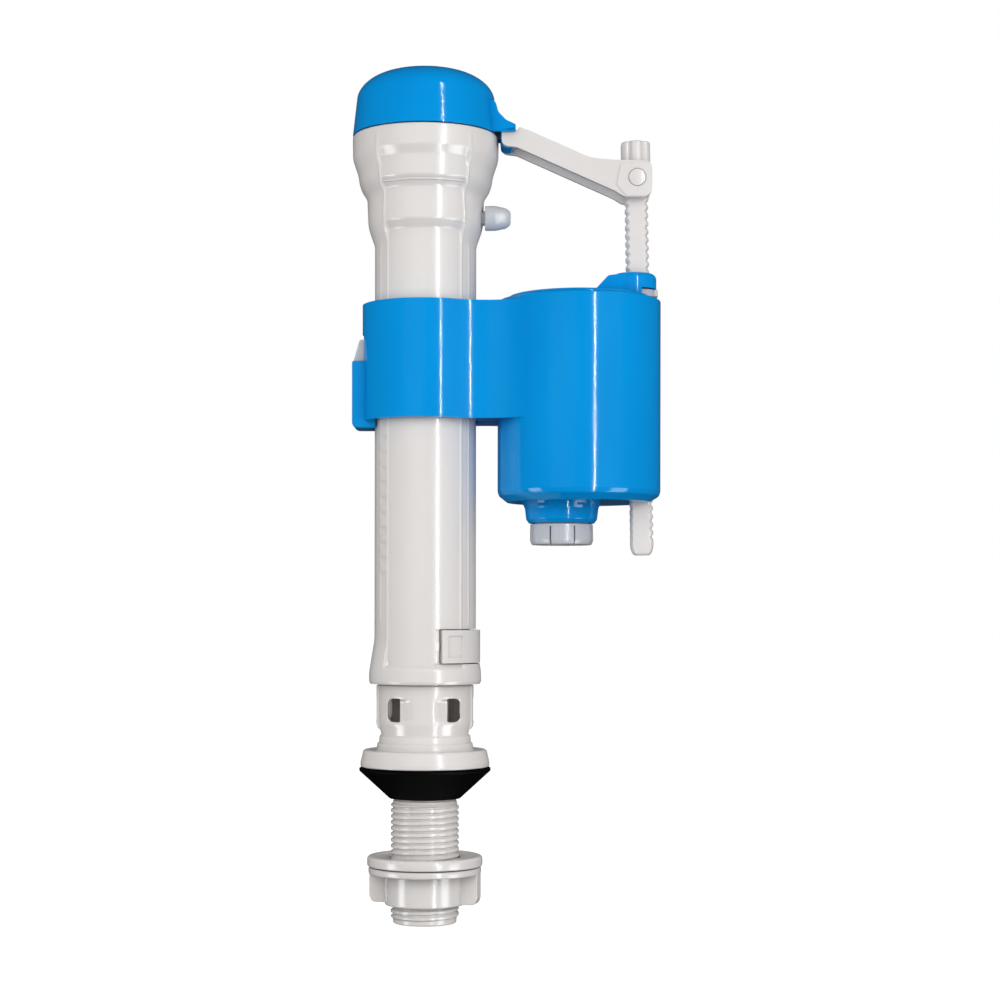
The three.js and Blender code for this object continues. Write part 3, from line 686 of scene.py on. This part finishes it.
def upper_tube():
    columns = 300
    loops = []
    for z in tube_rows():
        loop = []
        for i in range(columns):
            a = TAU * i / columns
            edge = 0.3 * smooth_step(HEAD_TOP - 0.4, HEAD_TOP, z)
            if z < TUBE_LOW + 0.8:
                edge += 0.35 * smooth_step(TUBE_LOW + 0.8, TUBE_LOW, z)
            r = tube_radius(a, z) - edge
            loop.append((r * math.cos(a), r * math.sin(a), z))
        loops.append(loop)
    inside = rounded([
        (22, HEAD_TOP), (19.5, HEAD_TOP, 0.4), (19.5, 224.5, 0.3), (15.8, 224.5, 0.5), (15.8, 214, 2),
        (TUBE_BORE_R, 210, 2), (TUBE_BORE_R, TUBE_LOW, 0.3), (16.6, TUBE_LOW),
    ])
    loops += [circle(r, z, columns=columns) for r, z in inside[1:-1]]
    body = skin("upper_tube_moulded", loops, closed=True)
    window = sector_prism("window", 12, 19, CLIP_HALF + 1.2, CLIP_LOW, CLIP_HIGH)
    recess = sector_prism("recess", 14.75, 19, CLIP_HALF + 6.5, CLIP_LOW, CLIP_HIGH)
    plug_hole = rod_along("plug_hole", 2.6, 12, 24, y=PLUG_Y, z=PLUG_Z, axis="x")
    cut(body, window, recess, plug_hole)
    tabs = [block("tab", 14.3, 15.5, -0.9, 0.9, 83.6, 86.2) for _ in SIDES]
    for tab, side in zip(tabs, SIDES):
        turn_about(tab, side * (CLIP_HALF + 5.5))
    return join(body, *tabs)


finish_piece(upper_tube(), "upper_tube", 40)


def lock_clip():
    band = sector_prism("lock_clip_moulded", 14.5, 16.9, CLIP_HALF, CLIP_LOW + 0.3, CLIP_HIGH - 0.3)
    for side in SIDES:
        recess = sector_prism("recess", 16.45, 18, 9, 81.6, 88.2)
        cut(band, turn_about(recess, side * (CLIP_HALF - 16)))
    soften(band, 0.45, 50, 3)
    tooth = sector_prism("tooth", 14.0, 15, CLIP_HALF - 12, 83.4, 84.6)
    return join(band, tooth)


finish_piece(lock_clip(), "lock_clip", 35)

riser = lathe("riser_tube_moulded", [
    (3.6, 79, 0.3), (4.9, 79, 0.2), (5.2, 80, 0.3), (5.2, 82, 0.15), (4.4, 82, 0.1), (4.4, 84.6, 0.1),
    (5.2, 84.6, 0.15), (5.2, 223.6, 0.3), (3.6, 223.6, 0.3),
], columns=64)
finish_piece(riser, "riser_tube")

o_ring = lathe("riser_o_ring_moulded", [
    (4.6, 82.25, 0.5), (5.75, 82.25, 1.0), (5.75, 84.35, 1.0), (4.6, 84.35, 0.5),
], columns=64)
finish_piece(o_ring, "riser_o_ring")


def valve_seat():
    spider = lathe("valve_seat_moulded", [
        (17.4, 224.8, 0.3), (19.2, 224.8, 0.4), (19.2, 228.5, 0.4), (17.4, 228.5, 0.3),
    ])
    nozzle = lathe("nozzle", [
        (5.5, 217, 0.2), (7, 217, 0.4), (7, 228.3, 0.8), (5, 229.5, 0.5), (4, 229.5, 0.4),
        (4, 224, 0.2), (5.5, 224, 0.2),
    ], columns=64)
    arms = [turn_about(block("arm", 6.4, 18, -1, 1, 224.8, 227.3), angle) for angle in (45, 135, 225, 315)]
    join(spider, nozzle, *arms)
    return soften(spider, 0.2, 60, 2)


finish_piece(valve_seat(), "valve_seat")


def pilot_plate():
    cover = lathe("pilot_plate_moulded", [
        (0, 236), (19.2, 236, 0.4), (19.2, 238, 0.5), (17.4, 238, 0.3), (16.9, 237.6, 0.3),
        (4, 237.6, 0.3), (0, 237.6),
    ])
    boss = lathe("boss", [
        (0, 237), (3.4, 237, 0.2), (2.6, 238.4, 0.8), (2.4, 240.6, 0.5), (0, 240.6),
    ], x=PILOT_X, columns=48)
    orifice = lathe("orifice", [(0, 235), (0.8, 235), (0.8, 242), (0, 242)], x=PILOT_X, columns=24)
    return cut(join(cover, boss), orifice)


finish_piece(pilot_plate(), "pilot_plate")


def refill_plug():
    corners = [
        (0, 15.5), (2.2, 15.5, 0.3), (2.2, 18.2, 0.1), (3.75, 18.2, 0.4), (3.75, 21.4, 3),
        (3.1, 24.6, 2.5), (2.0, 26.1, 1.5), (0, 26.1),
    ]
    plug = lathe("refill_plug_moulded", corners, columns=64)
    for v in plug.data.vertices:
        a, b, c = v.co
        v.co = (c, a + PLUG_Y * MM, b + PLUG_Z * MM)
    flip_to_outside(plug)
    return plug


finish_piece(refill_plug(), "refill_plug")


# ---------------------------------------------------------------- diaphragm

diaphragm = lathe("diaphragm_moulded", [
    (1.9, 231.3, 0.2), (9, 231.3, 3), (12, 231.9, 2), (16, 231.2, 2), (18.8, 231.5, 0.6),
    (18.8, 233.1, 0.6), (16, 232.8, 2), (12, 233.5, 2), (9, 232.7, 3), (1.9, 232.7, 0.2),
])
finish_piece(diaphragm, "diaphragm")

backing = lathe("diaphragm_plate_moulded", [
    (0, 226), (0.9, 226.3, 0.4), (1.6, 233, 0.2), (8.5, 233, 0.4), (8.2, 234.3, 0.5), (3, 234.3, 0.4),
    (2.6, 233.8, 0.3), (0, 233.8),
], columns=96)
finish_piece(backing, "diaphragm_plate")


# ---------------------------------------------------------------- cap

PIVOT_X = 25.4
PIVOT_Z = 239.3
CAP_LOW = 241.2
DOME_R = 21.1
DOME_LOW = 252.5
DOME_RISE = 8.82
PIN_R = 1.3
PIN_HOLE_R = 1.6


def dome_points(inset, steps=28):
    """The dome from its springing to its crown: upright wall, rounded shoulder, shallow top."""
    found = []
    for k in range(steps):
        a = k / steps * math.pi / 2
        r = (DOME_R - inset) * math.cos(a) ** 0.695
        found.append((r, DOME_LOW + (DOME_RISE - inset) * math.sin(a) ** 1.153))
    return found + [(0, DOME_LOW + DOME_RISE - inset)]


def top_cap():
    outer = lathe("top_cap_moulded", [(0, CAP_LOW), (22.4, CAP_LOW, 0.35), *dome_points(0)], columns=160)
    hood = prism("hood", [
        (15, CAP_LOW), (27.6, CAP_LOW + 0.2, 0.4), (27.6, 243.5, 0.5), (24.6, 244.9, 1.2), (22.3, 247.3, 3),
        (21.3, 251, 2), (15, 251),
    ], -8.7, 8.7)
    soften(hood, 0.5, 50, 3)
    join(outer, hood)
    hollow = lathe("hollow", [(0, CAP_LOW - 1.5), (20.4, CAP_LOW - 1.5), *dome_points(2)], columns=128)
    cut(outer, hollow)
    passage = prism("passage", [
        (10, 238), (30, 238), (30, 242.8, 0.4), (24.4, 243.9, 1), (21.6, 246.9, 1), (10, 247.6),
    ], -7.1, 7.1)
    skirt = lathe("skirt", [(17.3, 239.8, 0.3), (19.1, 239.8, 0.3), (19.1, 246), (17.3, 246)])
    skirt_web = lathe("skirt_web", [(18.8, 242.6), (21.2, 242.6), (21.2, 244.2), (18.8, 244.2)])
    join(outer, skirt, skirt_web)
    cut(outer, passage)
    lug = prism("lug", [
        (23.2, 237.3, 1.2), (27.2, 237.3, 1.6), (27.4, 243.3), (24.5, 244.7), (22.6, 246.7), (22.6, 242.8),
    ], -4.7, 4.7)
    soften(lug, 0.4, 50, 3)
    join(outer, lug)
    pin_hole = rod_along("pin_hole", PIN_HOLE_R, -8, 8, x=PIVOT_X, z=PIVOT_Z)
    return cut(outer, pin_hole)


finish_piece(top_cap(), "top_cap", 30)

seal = lathe("cap_seal_moulded", [
    (17.4, 238.3, 0.5), (19.1, 238.3, 0.5), (19.1, 239.5, 0.5), (17.4, 239.5, 0.5),
])
finish_piece(seal, "cap_seal")

lever_pin = rod_along("lever_pin_moulded", PIN_R, -6.1, 6.1, x=PIVOT_X, z=PIVOT_Z, end=0.3)
finish_piece(lever_pin, "lever_pin")


# ---------------------------------------------------------------- lever, swivel and rod

SWIVEL_X = 64.6
SWIVEL_Z = 227.8
ROD_R = 3.6
ROD_TILT = math.radians(1)
ROD_LOW = 112.8
KNOB_LOW = 232.6
KNOB_HIGH = 239.6
ROD_PITCH = 2.5
ROD_FLAT_HALF = 2.3
ROD_TIP = 3.4  # length of the rounded lower end
GROOVE_DEPTH = 0.45
KNOB_R = 4.6
FLUTES = 6
FLUTE_DEPTH = 0.75
CHEEK_IN = 5  # the lever's two cheeks, measured from its middle
CHEEK_OUT = 6.8
PAD_OUT = 7.05  # the raised pads round the swivel
EYE_R = 2.1
SWIVEL_BOSS_R = 2.6


def cheek_outline():
    """One side of the lever: from the pilot, under the hood, round the pivot and out to the swivel."""
    turns = [math.pi / 2 * k / 8 for k in range(9)]
    eye = [(PIVOT_X - EYE_R * math.cos(a), PIVOT_Z - EYE_R * math.sin(a)) for a in turns]
    return [
        (5.6, 244.9, 0.5), (17.6, 244.9, 1), (19.6, 242.4, 0.8), (23.3, 242.2, 0.4), *eye, (28, 236.9, 1.5),
        (57.9, 223.6, 6), (60.6, 221.9, 2), (69.1, 221.9, 2.5), (69.1, 232.9, 2.5), (57.1, 233.1, 6),
        (50.4, 233.7, 12), (45.6, 235.8, 12), (31.6, 242, 3), (28.6, 243.1, 0.6), (28.2, 242.1, 0.3),
        (25.2, 242.2, 1), (21.5, 246.2, 1), (5.6, 246.8, 0.5),
    ]


def lever():
    body = prism("lever_moulded", cheek_outline(), -CHEEK_OUT, -CHEEK_IN)
    join(body, prism("cheek", cheek_outline(), CHEEK_IN, CHEEK_OUT))
    web = prism("web", [
        (28.8, 241.4), (31.2, 240.5, 1), (45.4, 234.2, 6), (51, 231.9, 4), (57.4, 231.7, 0.5),
        (57.4, 233, 0.5), (50.4, 233.6, 12), (45.6, 235.7, 12), (31.6, 241.9, 2), (28.8, 242.9),
    ], -5.4, 5.4)
    beam = block("beam", 5.8, 13, -5.4, 5.4, 245, 246.7)
    join(body, web, beam)
    for low, high in ((-PAD_OUT, -CHEEK_OUT + 0.2), (CHEEK_OUT - 0.2, PAD_OUT)):
        join(body, prism("pad", [
            (59.6, 231.7, 0.5), (58.3, 225.6, 0.5), (61.2, 222.1, 1), (69, 222.1, 2.3),
            (69, 232.4, 2.3), (66.4, 232.4, 1),
        ], low, high))
    cut(body, rod_along("hole", PIN_HOLE_R, -6.3, 6.3, x=PIVOT_X, z=PIVOT_Z))
    cut(body, rod_along("hole", SWIVEL_BOSS_R + 0.12, -9, 9, x=SWIVEL_X, z=SWIVEL_Z))
    return soften(body, 0.3, 45, 3)


finish_piece(lever(), "lever", 30)

pilot_seal = lathe("pilot_seal_moulded", [
    (0, 243.1), (2.2, 243.1, 0.4), (2.2, 244.7, 0.4), (0, 244.7),
], x=PILOT_X, columns=48)
finish_piece(pilot_seal, "pilot_seal")


def tilt_rod(obj):
    """Leans a piece with the rod about the swivel's axis, top towards -X."""
    c = math.cos(ROD_TILT)
    s = math.sin(ROD_TILT)
    for v in obj.data.vertices:
        x = v.co.x - SWIVEL_X * MM
        z = v.co.z - SWIVEL_Z * MM
        v.co.x = SWIVEL_X * MM + x * c - z * s
        v.co.z = SWIVEL_Z * MM + x * s + z * c
    return obj


def swivel_block():
    barrel = rod_along("swivel_block_moulded", 4.5, -4.7, 4.7, x=SWIVEL_X, z=SWIVEL_Z, columns=96, end=0.3)
    boss = rod_along("boss", SWIVEL_BOSS_R, -7.3, 7.3, x=SWIVEL_X, z=SWIVEL_Z, columns=64, end=0.25)
    join(barrel, boss)
    bore = lathe("bore", [(0, 215), (3.9, 215), (3.9, 245), (0, 245)], x=SWIVEL_X, columns=64)
    return cut(barrel, tilt_rod(bore))


finish_piece(swivel_block(), "swivel_block", 35)


def rod_loop(z, columns=96):
    """One section of the threaded rod with its two flats; the thread is shallower near the tip."""
    rounding = math.sqrt(max(0.0, 1 - (1 - min(1, (z - ROD_LOW) / ROD_TIP)) ** 2))
    tip = 0.5 + 0.5 * rounding
    fade = smooth_step(ROD_LOW + 4, ROD_LOW + 5, z)
    fade *= 1 - smooth_step(KNOB_LOW - 9.5, KNOB_LOW - 8.5, z)
    near_tip = 1 - smooth_step(124, 134, z)
    flat = ROD_FLAT_HALF * tip
    loop = []
    for i in range(columns):
        a = TAU * i / columns
        phase = (z / ROD_PITCH - i / columns) % 1
        cutting = smooth_step(0.05, 0.3, phase) * (1 - smooth_step(0.5, 0.75, phase))
        depth = GROOVE_DEPTH - 0.33 * near_tip * smooth_step(-0.2, 0.2, -math.cos(a))
        groove = depth * fade * cutting
        r = max(0.05, ROD_R * tip - groove)
        y = max(-flat, min(flat, r * math.sin(a)))
        loop.append((SWIVEL_X + r * math.cos(a), y, z))
    return loop


def knob_loop(r, z, columns=144):
    """One section of the fluted knob."""
    if r <= 1e-4:
        return [(SWIVEL_X, 0, z)]
    loop = []
    for i in range(columns):
        a = TAU * i / columns
        flute = FLUTE_DEPTH * smooth_step(3.4, 4.4, r) * max(0, math.cos(FLUTES * a)) ** 1.5
        loop.append((SWIVEL_X + (r - flute) * math.cos(a), (r - flute) * math.sin(a), z))
    return loop


def adjusting_rod():
    first = ROD_LOW + 0.05
    high = KNOB_LOW + 0.6
    steps = int((high - ROD_LOW) / 0.22)
    loops = [[(SWIVEL_X, 0, ROD_LOW)]]
    loops += [rod_loop(first + (high - ROD_LOW - 0.05) * k / steps) for k in range(steps + 1)]
    rod = skin("adjusting_rod_moulded", loops)
    knob = rounded([
        (0, KNOB_LOW), (KNOB_R, KNOB_LOW, 0.3), (KNOB_R, KNOB_HIGH, 0.6), (3.2, KNOB_HIGH, 0.3),
        (2.9, KNOB_HIGH - 0.4, 0.2), (0, KNOB_HIGH - 0.4),
    ])
    return tilt_rod(join(rod, skin("knob", [knob_loop(r, z) for r, z in knob])))


finish_piece(adjusting_rod(), "adjusting_rod", 35)


# ---------------------------------------------------------------- float and its clip

BUCKET_X = 47.2
GUIDE_X = 65.9
FLOAT_R = 22.2
FLOAT_LOW = 150
FLOAT_TOP = 192
FLOAT_ROOF = 190.4
ROD_SLOT_R = 3.9
EAR_X = 64
GRIP_X = 65.3
GRIP_R = 5.4
GRIP_LOW = 192
GRIP_HIGH = 194.1


def float_cup():
    cup = lathe("float_moulded", [
        (0, FLOAT_LOW), (FLOAT_R, FLOAT_LOW, 0.4), (FLOAT_R, FLOAT_TOP, 1.0), (0, FLOAT_TOP),
    ], x=BUCKET_X)
    notch_x = GUIDE_X - 0.5
    notch = lathe("notch", [
        (0, 100), (7.6, 100), (7.6, FLOAT_ROOF), (0, FLOAT_ROOF),
    ], x=notch_x, columns=96)
    air = lathe("air", [(0, 140), (20.6, 140), (20.6, FLOAT_ROOF, 1), (0, FLOAT_ROOF)], x=BUCKET_X)
    wall = lathe("wall", [(0, 100), (9.2, 100), (9.2, 193), (0, 193)], x=notch_x, columns=96)
    cut(air, wall)
    cut(cup, notch, air)
    wedge = prism("wedge", [
        (50.2, 191), (50.2, 192.05, 0.2), (51.8, 193.7, 1), (55.9, 198.1, 1.4), (59.5, 198.5, 1.5),
        (61.3, 199, 1), (EAR_X, 199.1), (EAR_X, 191),
    ], -6.2, 6.2)
    soften(wedge, 0.5, 50, 4)
    ear = lathe("ear", [(0, 191), (6.9, 191), (6.9, 199.2, 1.8), (0, 199.2)], x=EAR_X, columns=96)
    join(cup, wedge, ear)
    open_side = block("open_side", EAR_X + 2, 80, -8, 8, FLOAT_TOP, GRIP_HIGH + 0.3)
    room_r = GRIP_R + 0.3
    room_low = GRIP_LOW - 0.3
    room_high = GRIP_HIGH + 0.3
    ring_room = lathe("ring_room", [
        (0, room_low), (room_r, room_low), (room_r, room_high), (0, room_high),
    ], x=GRIP_X, columns=96)
    exit_room = block("exit_room", GRIP_X, 80, -room_r, room_r, room_low, room_high)
    rod_slot = prism("rod_slot", slot_outline(65, GUIDE_X, ROD_SLOT_R), 170, 210, axis="z")
    return cut(cup, open_side, ring_room, exit_room, rod_slot)


def slot_outline(x0, x1, r, steps=24):
    """A slot along x with round ends."""
    points = []
    for centre, first in ((x1, -math.pi / 2), (x0, math.pi / 2)):
        for k in range(steps + 1):
            a = first + math.pi * k / steps
            points.append((centre + r * math.cos(a), r * math.sin(a)))
    return points


finish_piece(float_cup(), "float", 32)


def float_clip():
    collar = lathe("float_clip_moulded", [
        (0, GRIP_LOW), (GRIP_R, GRIP_LOW), (GRIP_R, GRIP_HIGH), (0, GRIP_HIGH),
    ], x=GRIP_X, columns=96)
    join(collar, block("tab", GRIP_X + 4.6, 71.2, -3, 3, GRIP_LOW, GRIP_HIGH))
    cut(collar, prism("mouth", slot_outline(50, GRIP_X + 0.5, ROD_SLOT_R), 190, 200, axis="z"))
    return soften(collar, 0.35, 50, 3)


finish_piece(float_clip(), "float_clip", 35)


# ---------------------------------------------------------------- bucket with collar

COLLAR_R = 19.3
COLLAR_LOW = 153.8
COLLAR_HIGH = 189.3
BUCKET_R = 25.0
BUCKET_LOW = 129.0
BUCKET_HIGH = 190.6
WEB_FILLET_R = 19
LATCH_PIN_X = -19.6
LATCH_PIN_Z = 163
NOZZLE_X = 41.9


def web_outline():
    """Plan of the web: on each side an arc that runs smoothly into the collar and into the bucket."""
    to_collar = COLLAR_R + WEB_FILLET_R
    to_bucket = BUCKET_R + WEB_FILLET_R
    cx = (to_collar ** 2 - to_bucket ** 2 + BUCKET_X ** 2) / (2 * BUCKET_X)
    cy = math.sqrt(to_collar ** 2 - cx ** 2)
    first = math.atan2(-cy, -cx)
    last = math.atan2(-cy, BUCKET_X - cx)
    turns = [first + (last - first) * k / 32 for k in range(33)]
    arc = [(cx + WEB_FILLET_R * math.cos(a), cy + WEB_FILLET_R * math.sin(a)) for a in turns]
    upper = [(8, 8), *arc, (33, 8)]
    return upper + [(x, -y) for x, y in reversed(upper)]


def bucket():
    collar = lathe("bucket_moulded", [
        (0, COLLAR_LOW), (COLLAR_R, COLLAR_LOW), (COLLAR_R, COLLAR_HIGH), (0, COLLAR_HIGH),
    ], columns=180)
    web = prism("web", web_outline(), COLLAR_LOW, COLLAR_HIGH, axis="z")
    pot = lathe("pot", [
        (0, BUCKET_LOW), (22.1, BUCKET_LOW, 0.8), (24.6, 131, 1.4), (BUCKET_R, 132.4, 1),
        (BUCKET_R, BUCKET_HIGH, 0.35), (0, BUCKET_HIGH),
    ], x=BUCKET_X, columns=200)
    housing = prism("housing", [
        (-22.2, 151.4, 1.8), (-13, 151.4), (-13, 171.9), (-22.2, 171.9, 0.6),
    ], -6.4, 6.4)
    soften(housing, 0.7, 50, 3)
    nozzle = lathe("nozzle", [
        (0, 122.6), (10, 122.6, 0.4), (10.9, 123.8, 0.8), (11.3, 127.2, 1), (12.2, 129.1, 0.5),
        (12.2, 130.4), (0, 130.4),
    ], x=NOZZLE_X, columns=120)
    join(collar, web, pot, housing, nozzle)
    soften(collar, 0.35, 60, 3)
    hollow = lathe("hollow", [(0, 131), (23.8, 131, 1.5), (23.8, 195), (0, 195)], x=BUCKET_X, columns=160)
    guide = lathe("guide", [(0, 125), (6.3, 125), (6.3, 184, 0.3), (0, 184)], x=GUIDE_X, columns=96)
    cut(hollow, guide)
    guide_bore = lathe("guide_bore", [(0, 120), (5.5, 120), (5.5, 186), (0, 186)], x=GUIDE_X, columns=96)
    nozzle_hollow = lathe("nozzle_hollow", [
        (0, 120), (8.7, 120), (8.7, 129, 0.5), (0, 129),
    ], x=NOZZLE_X, columns=96)
    drain = lathe("drain", [(0, 126), (5, 126), (5, 133), (0, 133)], x=NOZZLE_X, columns=64)
    bore = lathe("bore", [(0, 148), (16.3, 148), (16.3, 192), (0, 192)], columns=160)
    latch_room = block("latch_room", -24, -15, -4.9, 4.9, 156.6, 180.4)
    pin_hole = rod_along("pin_hole", 1.3, -5.9, 5.9, x=LATCH_PIN_X, z=LATCH_PIN_Z)
    cut(collar, hollow, guide_bore, nozzle_hollow, drain, bore, latch_room, pin_hole)
    for angle in (-31, 30):
        mark = block("mark", NOZZLE_X - 1.5, NOZZLE_X + 1.5, -11.9, -11, 127.9, 129.3)
        join(collar, turn_about(mark, angle, NOZZLE_X))
    return collar


finish_piece(bucket(), "bucket", 30)


def height_latch():
    body = prism("height_latch_moulded", [
        (-21.8, 157.6, 0.8), (-18, 157.6, 0.5), (-18, 172, 0.8), (-17.3, 174, 0.4), (-17.3, 177, 0.4),
        (-19.8, 179.2, 0.8), (-21.9, 171.9, 1.2),
    ], -4.6, 4.6)
    soften(body, 0.4, 50, 3)
    return cut(body, rod_along("hole", 1.3, -6, 6, x=LATCH_PIN_X, z=LATCH_PIN_Z))


finish_piece(height_latch(), "height_latch", 32)

latch_pin = rod_along("latch_pin_moulded", 1.0, -5.8, 5.8, x=LATCH_PIN_X, z=LATCH_PIN_Z, end=0.25)
finish_piece(latch_pin, "latch_pin")


def drain_retainer():
    """A castellated cup: eight lobes below a collar that plugs the nozzle."""
    cup = lathe("drain_retainer_moulded", [
        (6.6, 116, 0.3), (9.2, 116, 0.6), (9.7, 117.4, 0.8), (9.6, 122.3, 0.2), (8.4, 122.3), (8.4, 124, 0.4),
        (6.6, 124, 0.3),
    ], x=NOZZLE_X, columns=160)
    for k in range(4):
        angle = 22.5 + 45 * k
        for low, high in ((-12, -5), (5, 12)):
            slot_cut = block("slot", NOZZLE_X + low, NOZZLE_X + high, -0.25, 0.25, 115, 121.5)
            cut(cup, turn_about(slot_cut, angle, NOZZLE_X))
    for angle in (0, 90):
        bar = block("bar", NOZZLE_X - 7, NOZZLE_X + 7, -0.8, 0.8, 121.6, 123.4)
        join(cup, turn_about(bar, angle, NOZZLE_X))
    return soften(cup, 0.25, 55, 3)


finish_piece(drain_retainer(), "drain_retainer", 32)

flap = lathe("drain_flap_moulded", [
    (0, 124.4), (6.3, 124.4, 0.4), (6.3, 125.9, 0.4), (0, 125.9),
], x=NOZZLE_X, columns=64)
finish_piece(flap, "drain_flap")


# ---------------------------------------------------------------- stage, light and camera

def plane(name, size, z):
    half = size / 2
    corners = [(-half, -half, z), (half, -half, z), (half, half, z), (-half, half, z)]
    return build(name, corners, [(0, 1, 2, 3)])


def floor_material():
    """White paper, with a glow of its own so that it runs into the white surround."""
    material, nodes, links, shader = new_material("floor_paper")
    where = nodes.new("ShaderNodeTexCoord").outputs["Object"]
    fibre = noise(nodes, links, where, 40, 6.0)
    links.new(ramp(nodes, links, fibre, [(0.3, (0.24, 0.24, 0.24)), (0.7, (0.27, 0.27, 0.27))]),
              shader.inputs["Base Color"])
    shader.inputs["Roughness"].default_value = 0.9
    shader.inputs["Specular IOR Level"].default_value = 0.0
    shader.inputs["Emission Color"].default_value = (1, 1, 1, 1)
    shader.inputs["Emission Strength"].default_value = 0.9
    return material


floor = plane("floor", 12000, -0.3)
floor.data.materials.append(floor_material())
floor.visible_glossy = False
floor.visible_diffuse = False
floor.visible_shadow = False


def studio_world(seen, felt, mirrored):
    """A white surround: one strength for the camera, one for soft light, a dim one for reflections."""
    world = bpy.data.worlds.new("studio")
    world.use_nodes = True
    world.cycles.sampling_method = "NONE"
    bpy.context.scene.world = world
    nodes = world.node_tree.nodes
    links = world.node_tree.links
    shine = nodes["Background"]
    shine.inputs["Color"].default_value = (1, 1, 1, 1)
    path = nodes.new("ShaderNodeLightPath")
    split = nodes.new("ShaderNodeSeparateXYZ")
    links.new(nodes.new("ShaderNodeTexCoord").outputs["Generated"], split.inputs["Vector"])
    height = nodes.new("ShaderNodeMapRange")
    height.inputs["From Min"].default_value = -1.0
    links.new(split.outputs["Z"], height.inputs["Value"])
    below = (0.2, 0.2, 0.2)
    level = (1.0, 1.0, 1.0)
    above = (0.6, 0.6, 0.6)
    levels = ramp(nodes, links, height.outputs["Result"], [(0.05, below), (0.5, level), (0.95, above)])
    scaled = nodes.new("ShaderNodeMath")
    scaled.operation = "MULTIPLY"
    links.new(levels, scaled.inputs[0])
    scaled.inputs[1].default_value = felt
    soft = nodes.new("ShaderNodeMix")
    links.new(path.outputs["Is Glossy Ray"], soft.inputs["Factor"])
    links.new(scaled.outputs["Value"], soft.inputs["A"])
    soft.inputs["B"].default_value = mirrored
    strength = nodes.new("ShaderNodeMix")
    links.new(path.outputs["Is Camera Ray"], strength.inputs["Factor"])
    links.new(soft.outputs["Result"], strength.inputs["A"])
    strength.inputs["B"].default_value = seen
    links.new(strength.outputs["Result"], shine.inputs["Strength"])


def panel_light(name, at, target, width, height, power):
    """A soft rectangular light at a place, facing a target, both in millimetres."""
    data = bpy.data.lights.new(name, "AREA")
    data.shape = "RECTANGLE"
    data.size = width * MM
    data.size_y = height * MM
    data.energy = power
    obj = bpy.data.objects.new(name, data)
    bpy.context.scene.collection.objects.link(obj)
    obj.location = Vector(at) * MM
    aim = (Vector(target) - Vector(at)).normalized()
    obj.rotation_euler = aim.to_track_quat("-Z", "Y").to_euler()
    obj.visible_camera = False
    return obj


studio_world(seen=1.0, felt=0.7, mirrored=0.02)
key = panel_light("key", (-120, -360, 190), (20, 0, 135), 260, 260, 0.52)
key.visible_glossy = False
fill = panel_light("fill", (430, -420, 230), (20, 0, 130), 350, 400, 1.05)
fill.visible_glossy = False
strip = panel_light("strip", (124, -226, 150), (10, 0, 150), 4, 560, 0.8)
strip.visible_diffuse = False
back = panel_light("back", (120, 520, 260), (20, 0, 130), 380, 400, 1.1)
back.visible_glossy = False
for x in (-560, 430):
    card = panel_light("card", (x, -230, -170), (10, 0, 60), 220, 300, 1.6)
    card.visible_diffuse = False

scene = bpy.context.scene
scene.view_settings.view_transform = "Standard"
scene.view_settings.look = "None"

CAMERA_DISTANCE = 650
CAMERA_HEIGHT = 96
CAMERA_ROLL = -0.0014

lens = bpy.data.cameras.new("camera")
lens.sensor_width = 36
lens.lens = 76.1
lens.shift_y = 0.11
lens.clip_start = 0.01
camera = bpy.data.objects.new("camera", lens)
scene.collection.objects.link(camera)
camera.location = Vector((23, -CAMERA_DISTANCE, CAMERA_HEIGHT)) * MM
camera.rotation_euler = (math.pi / 2, CAMERA_ROLL, 0)
scene.camera = camera
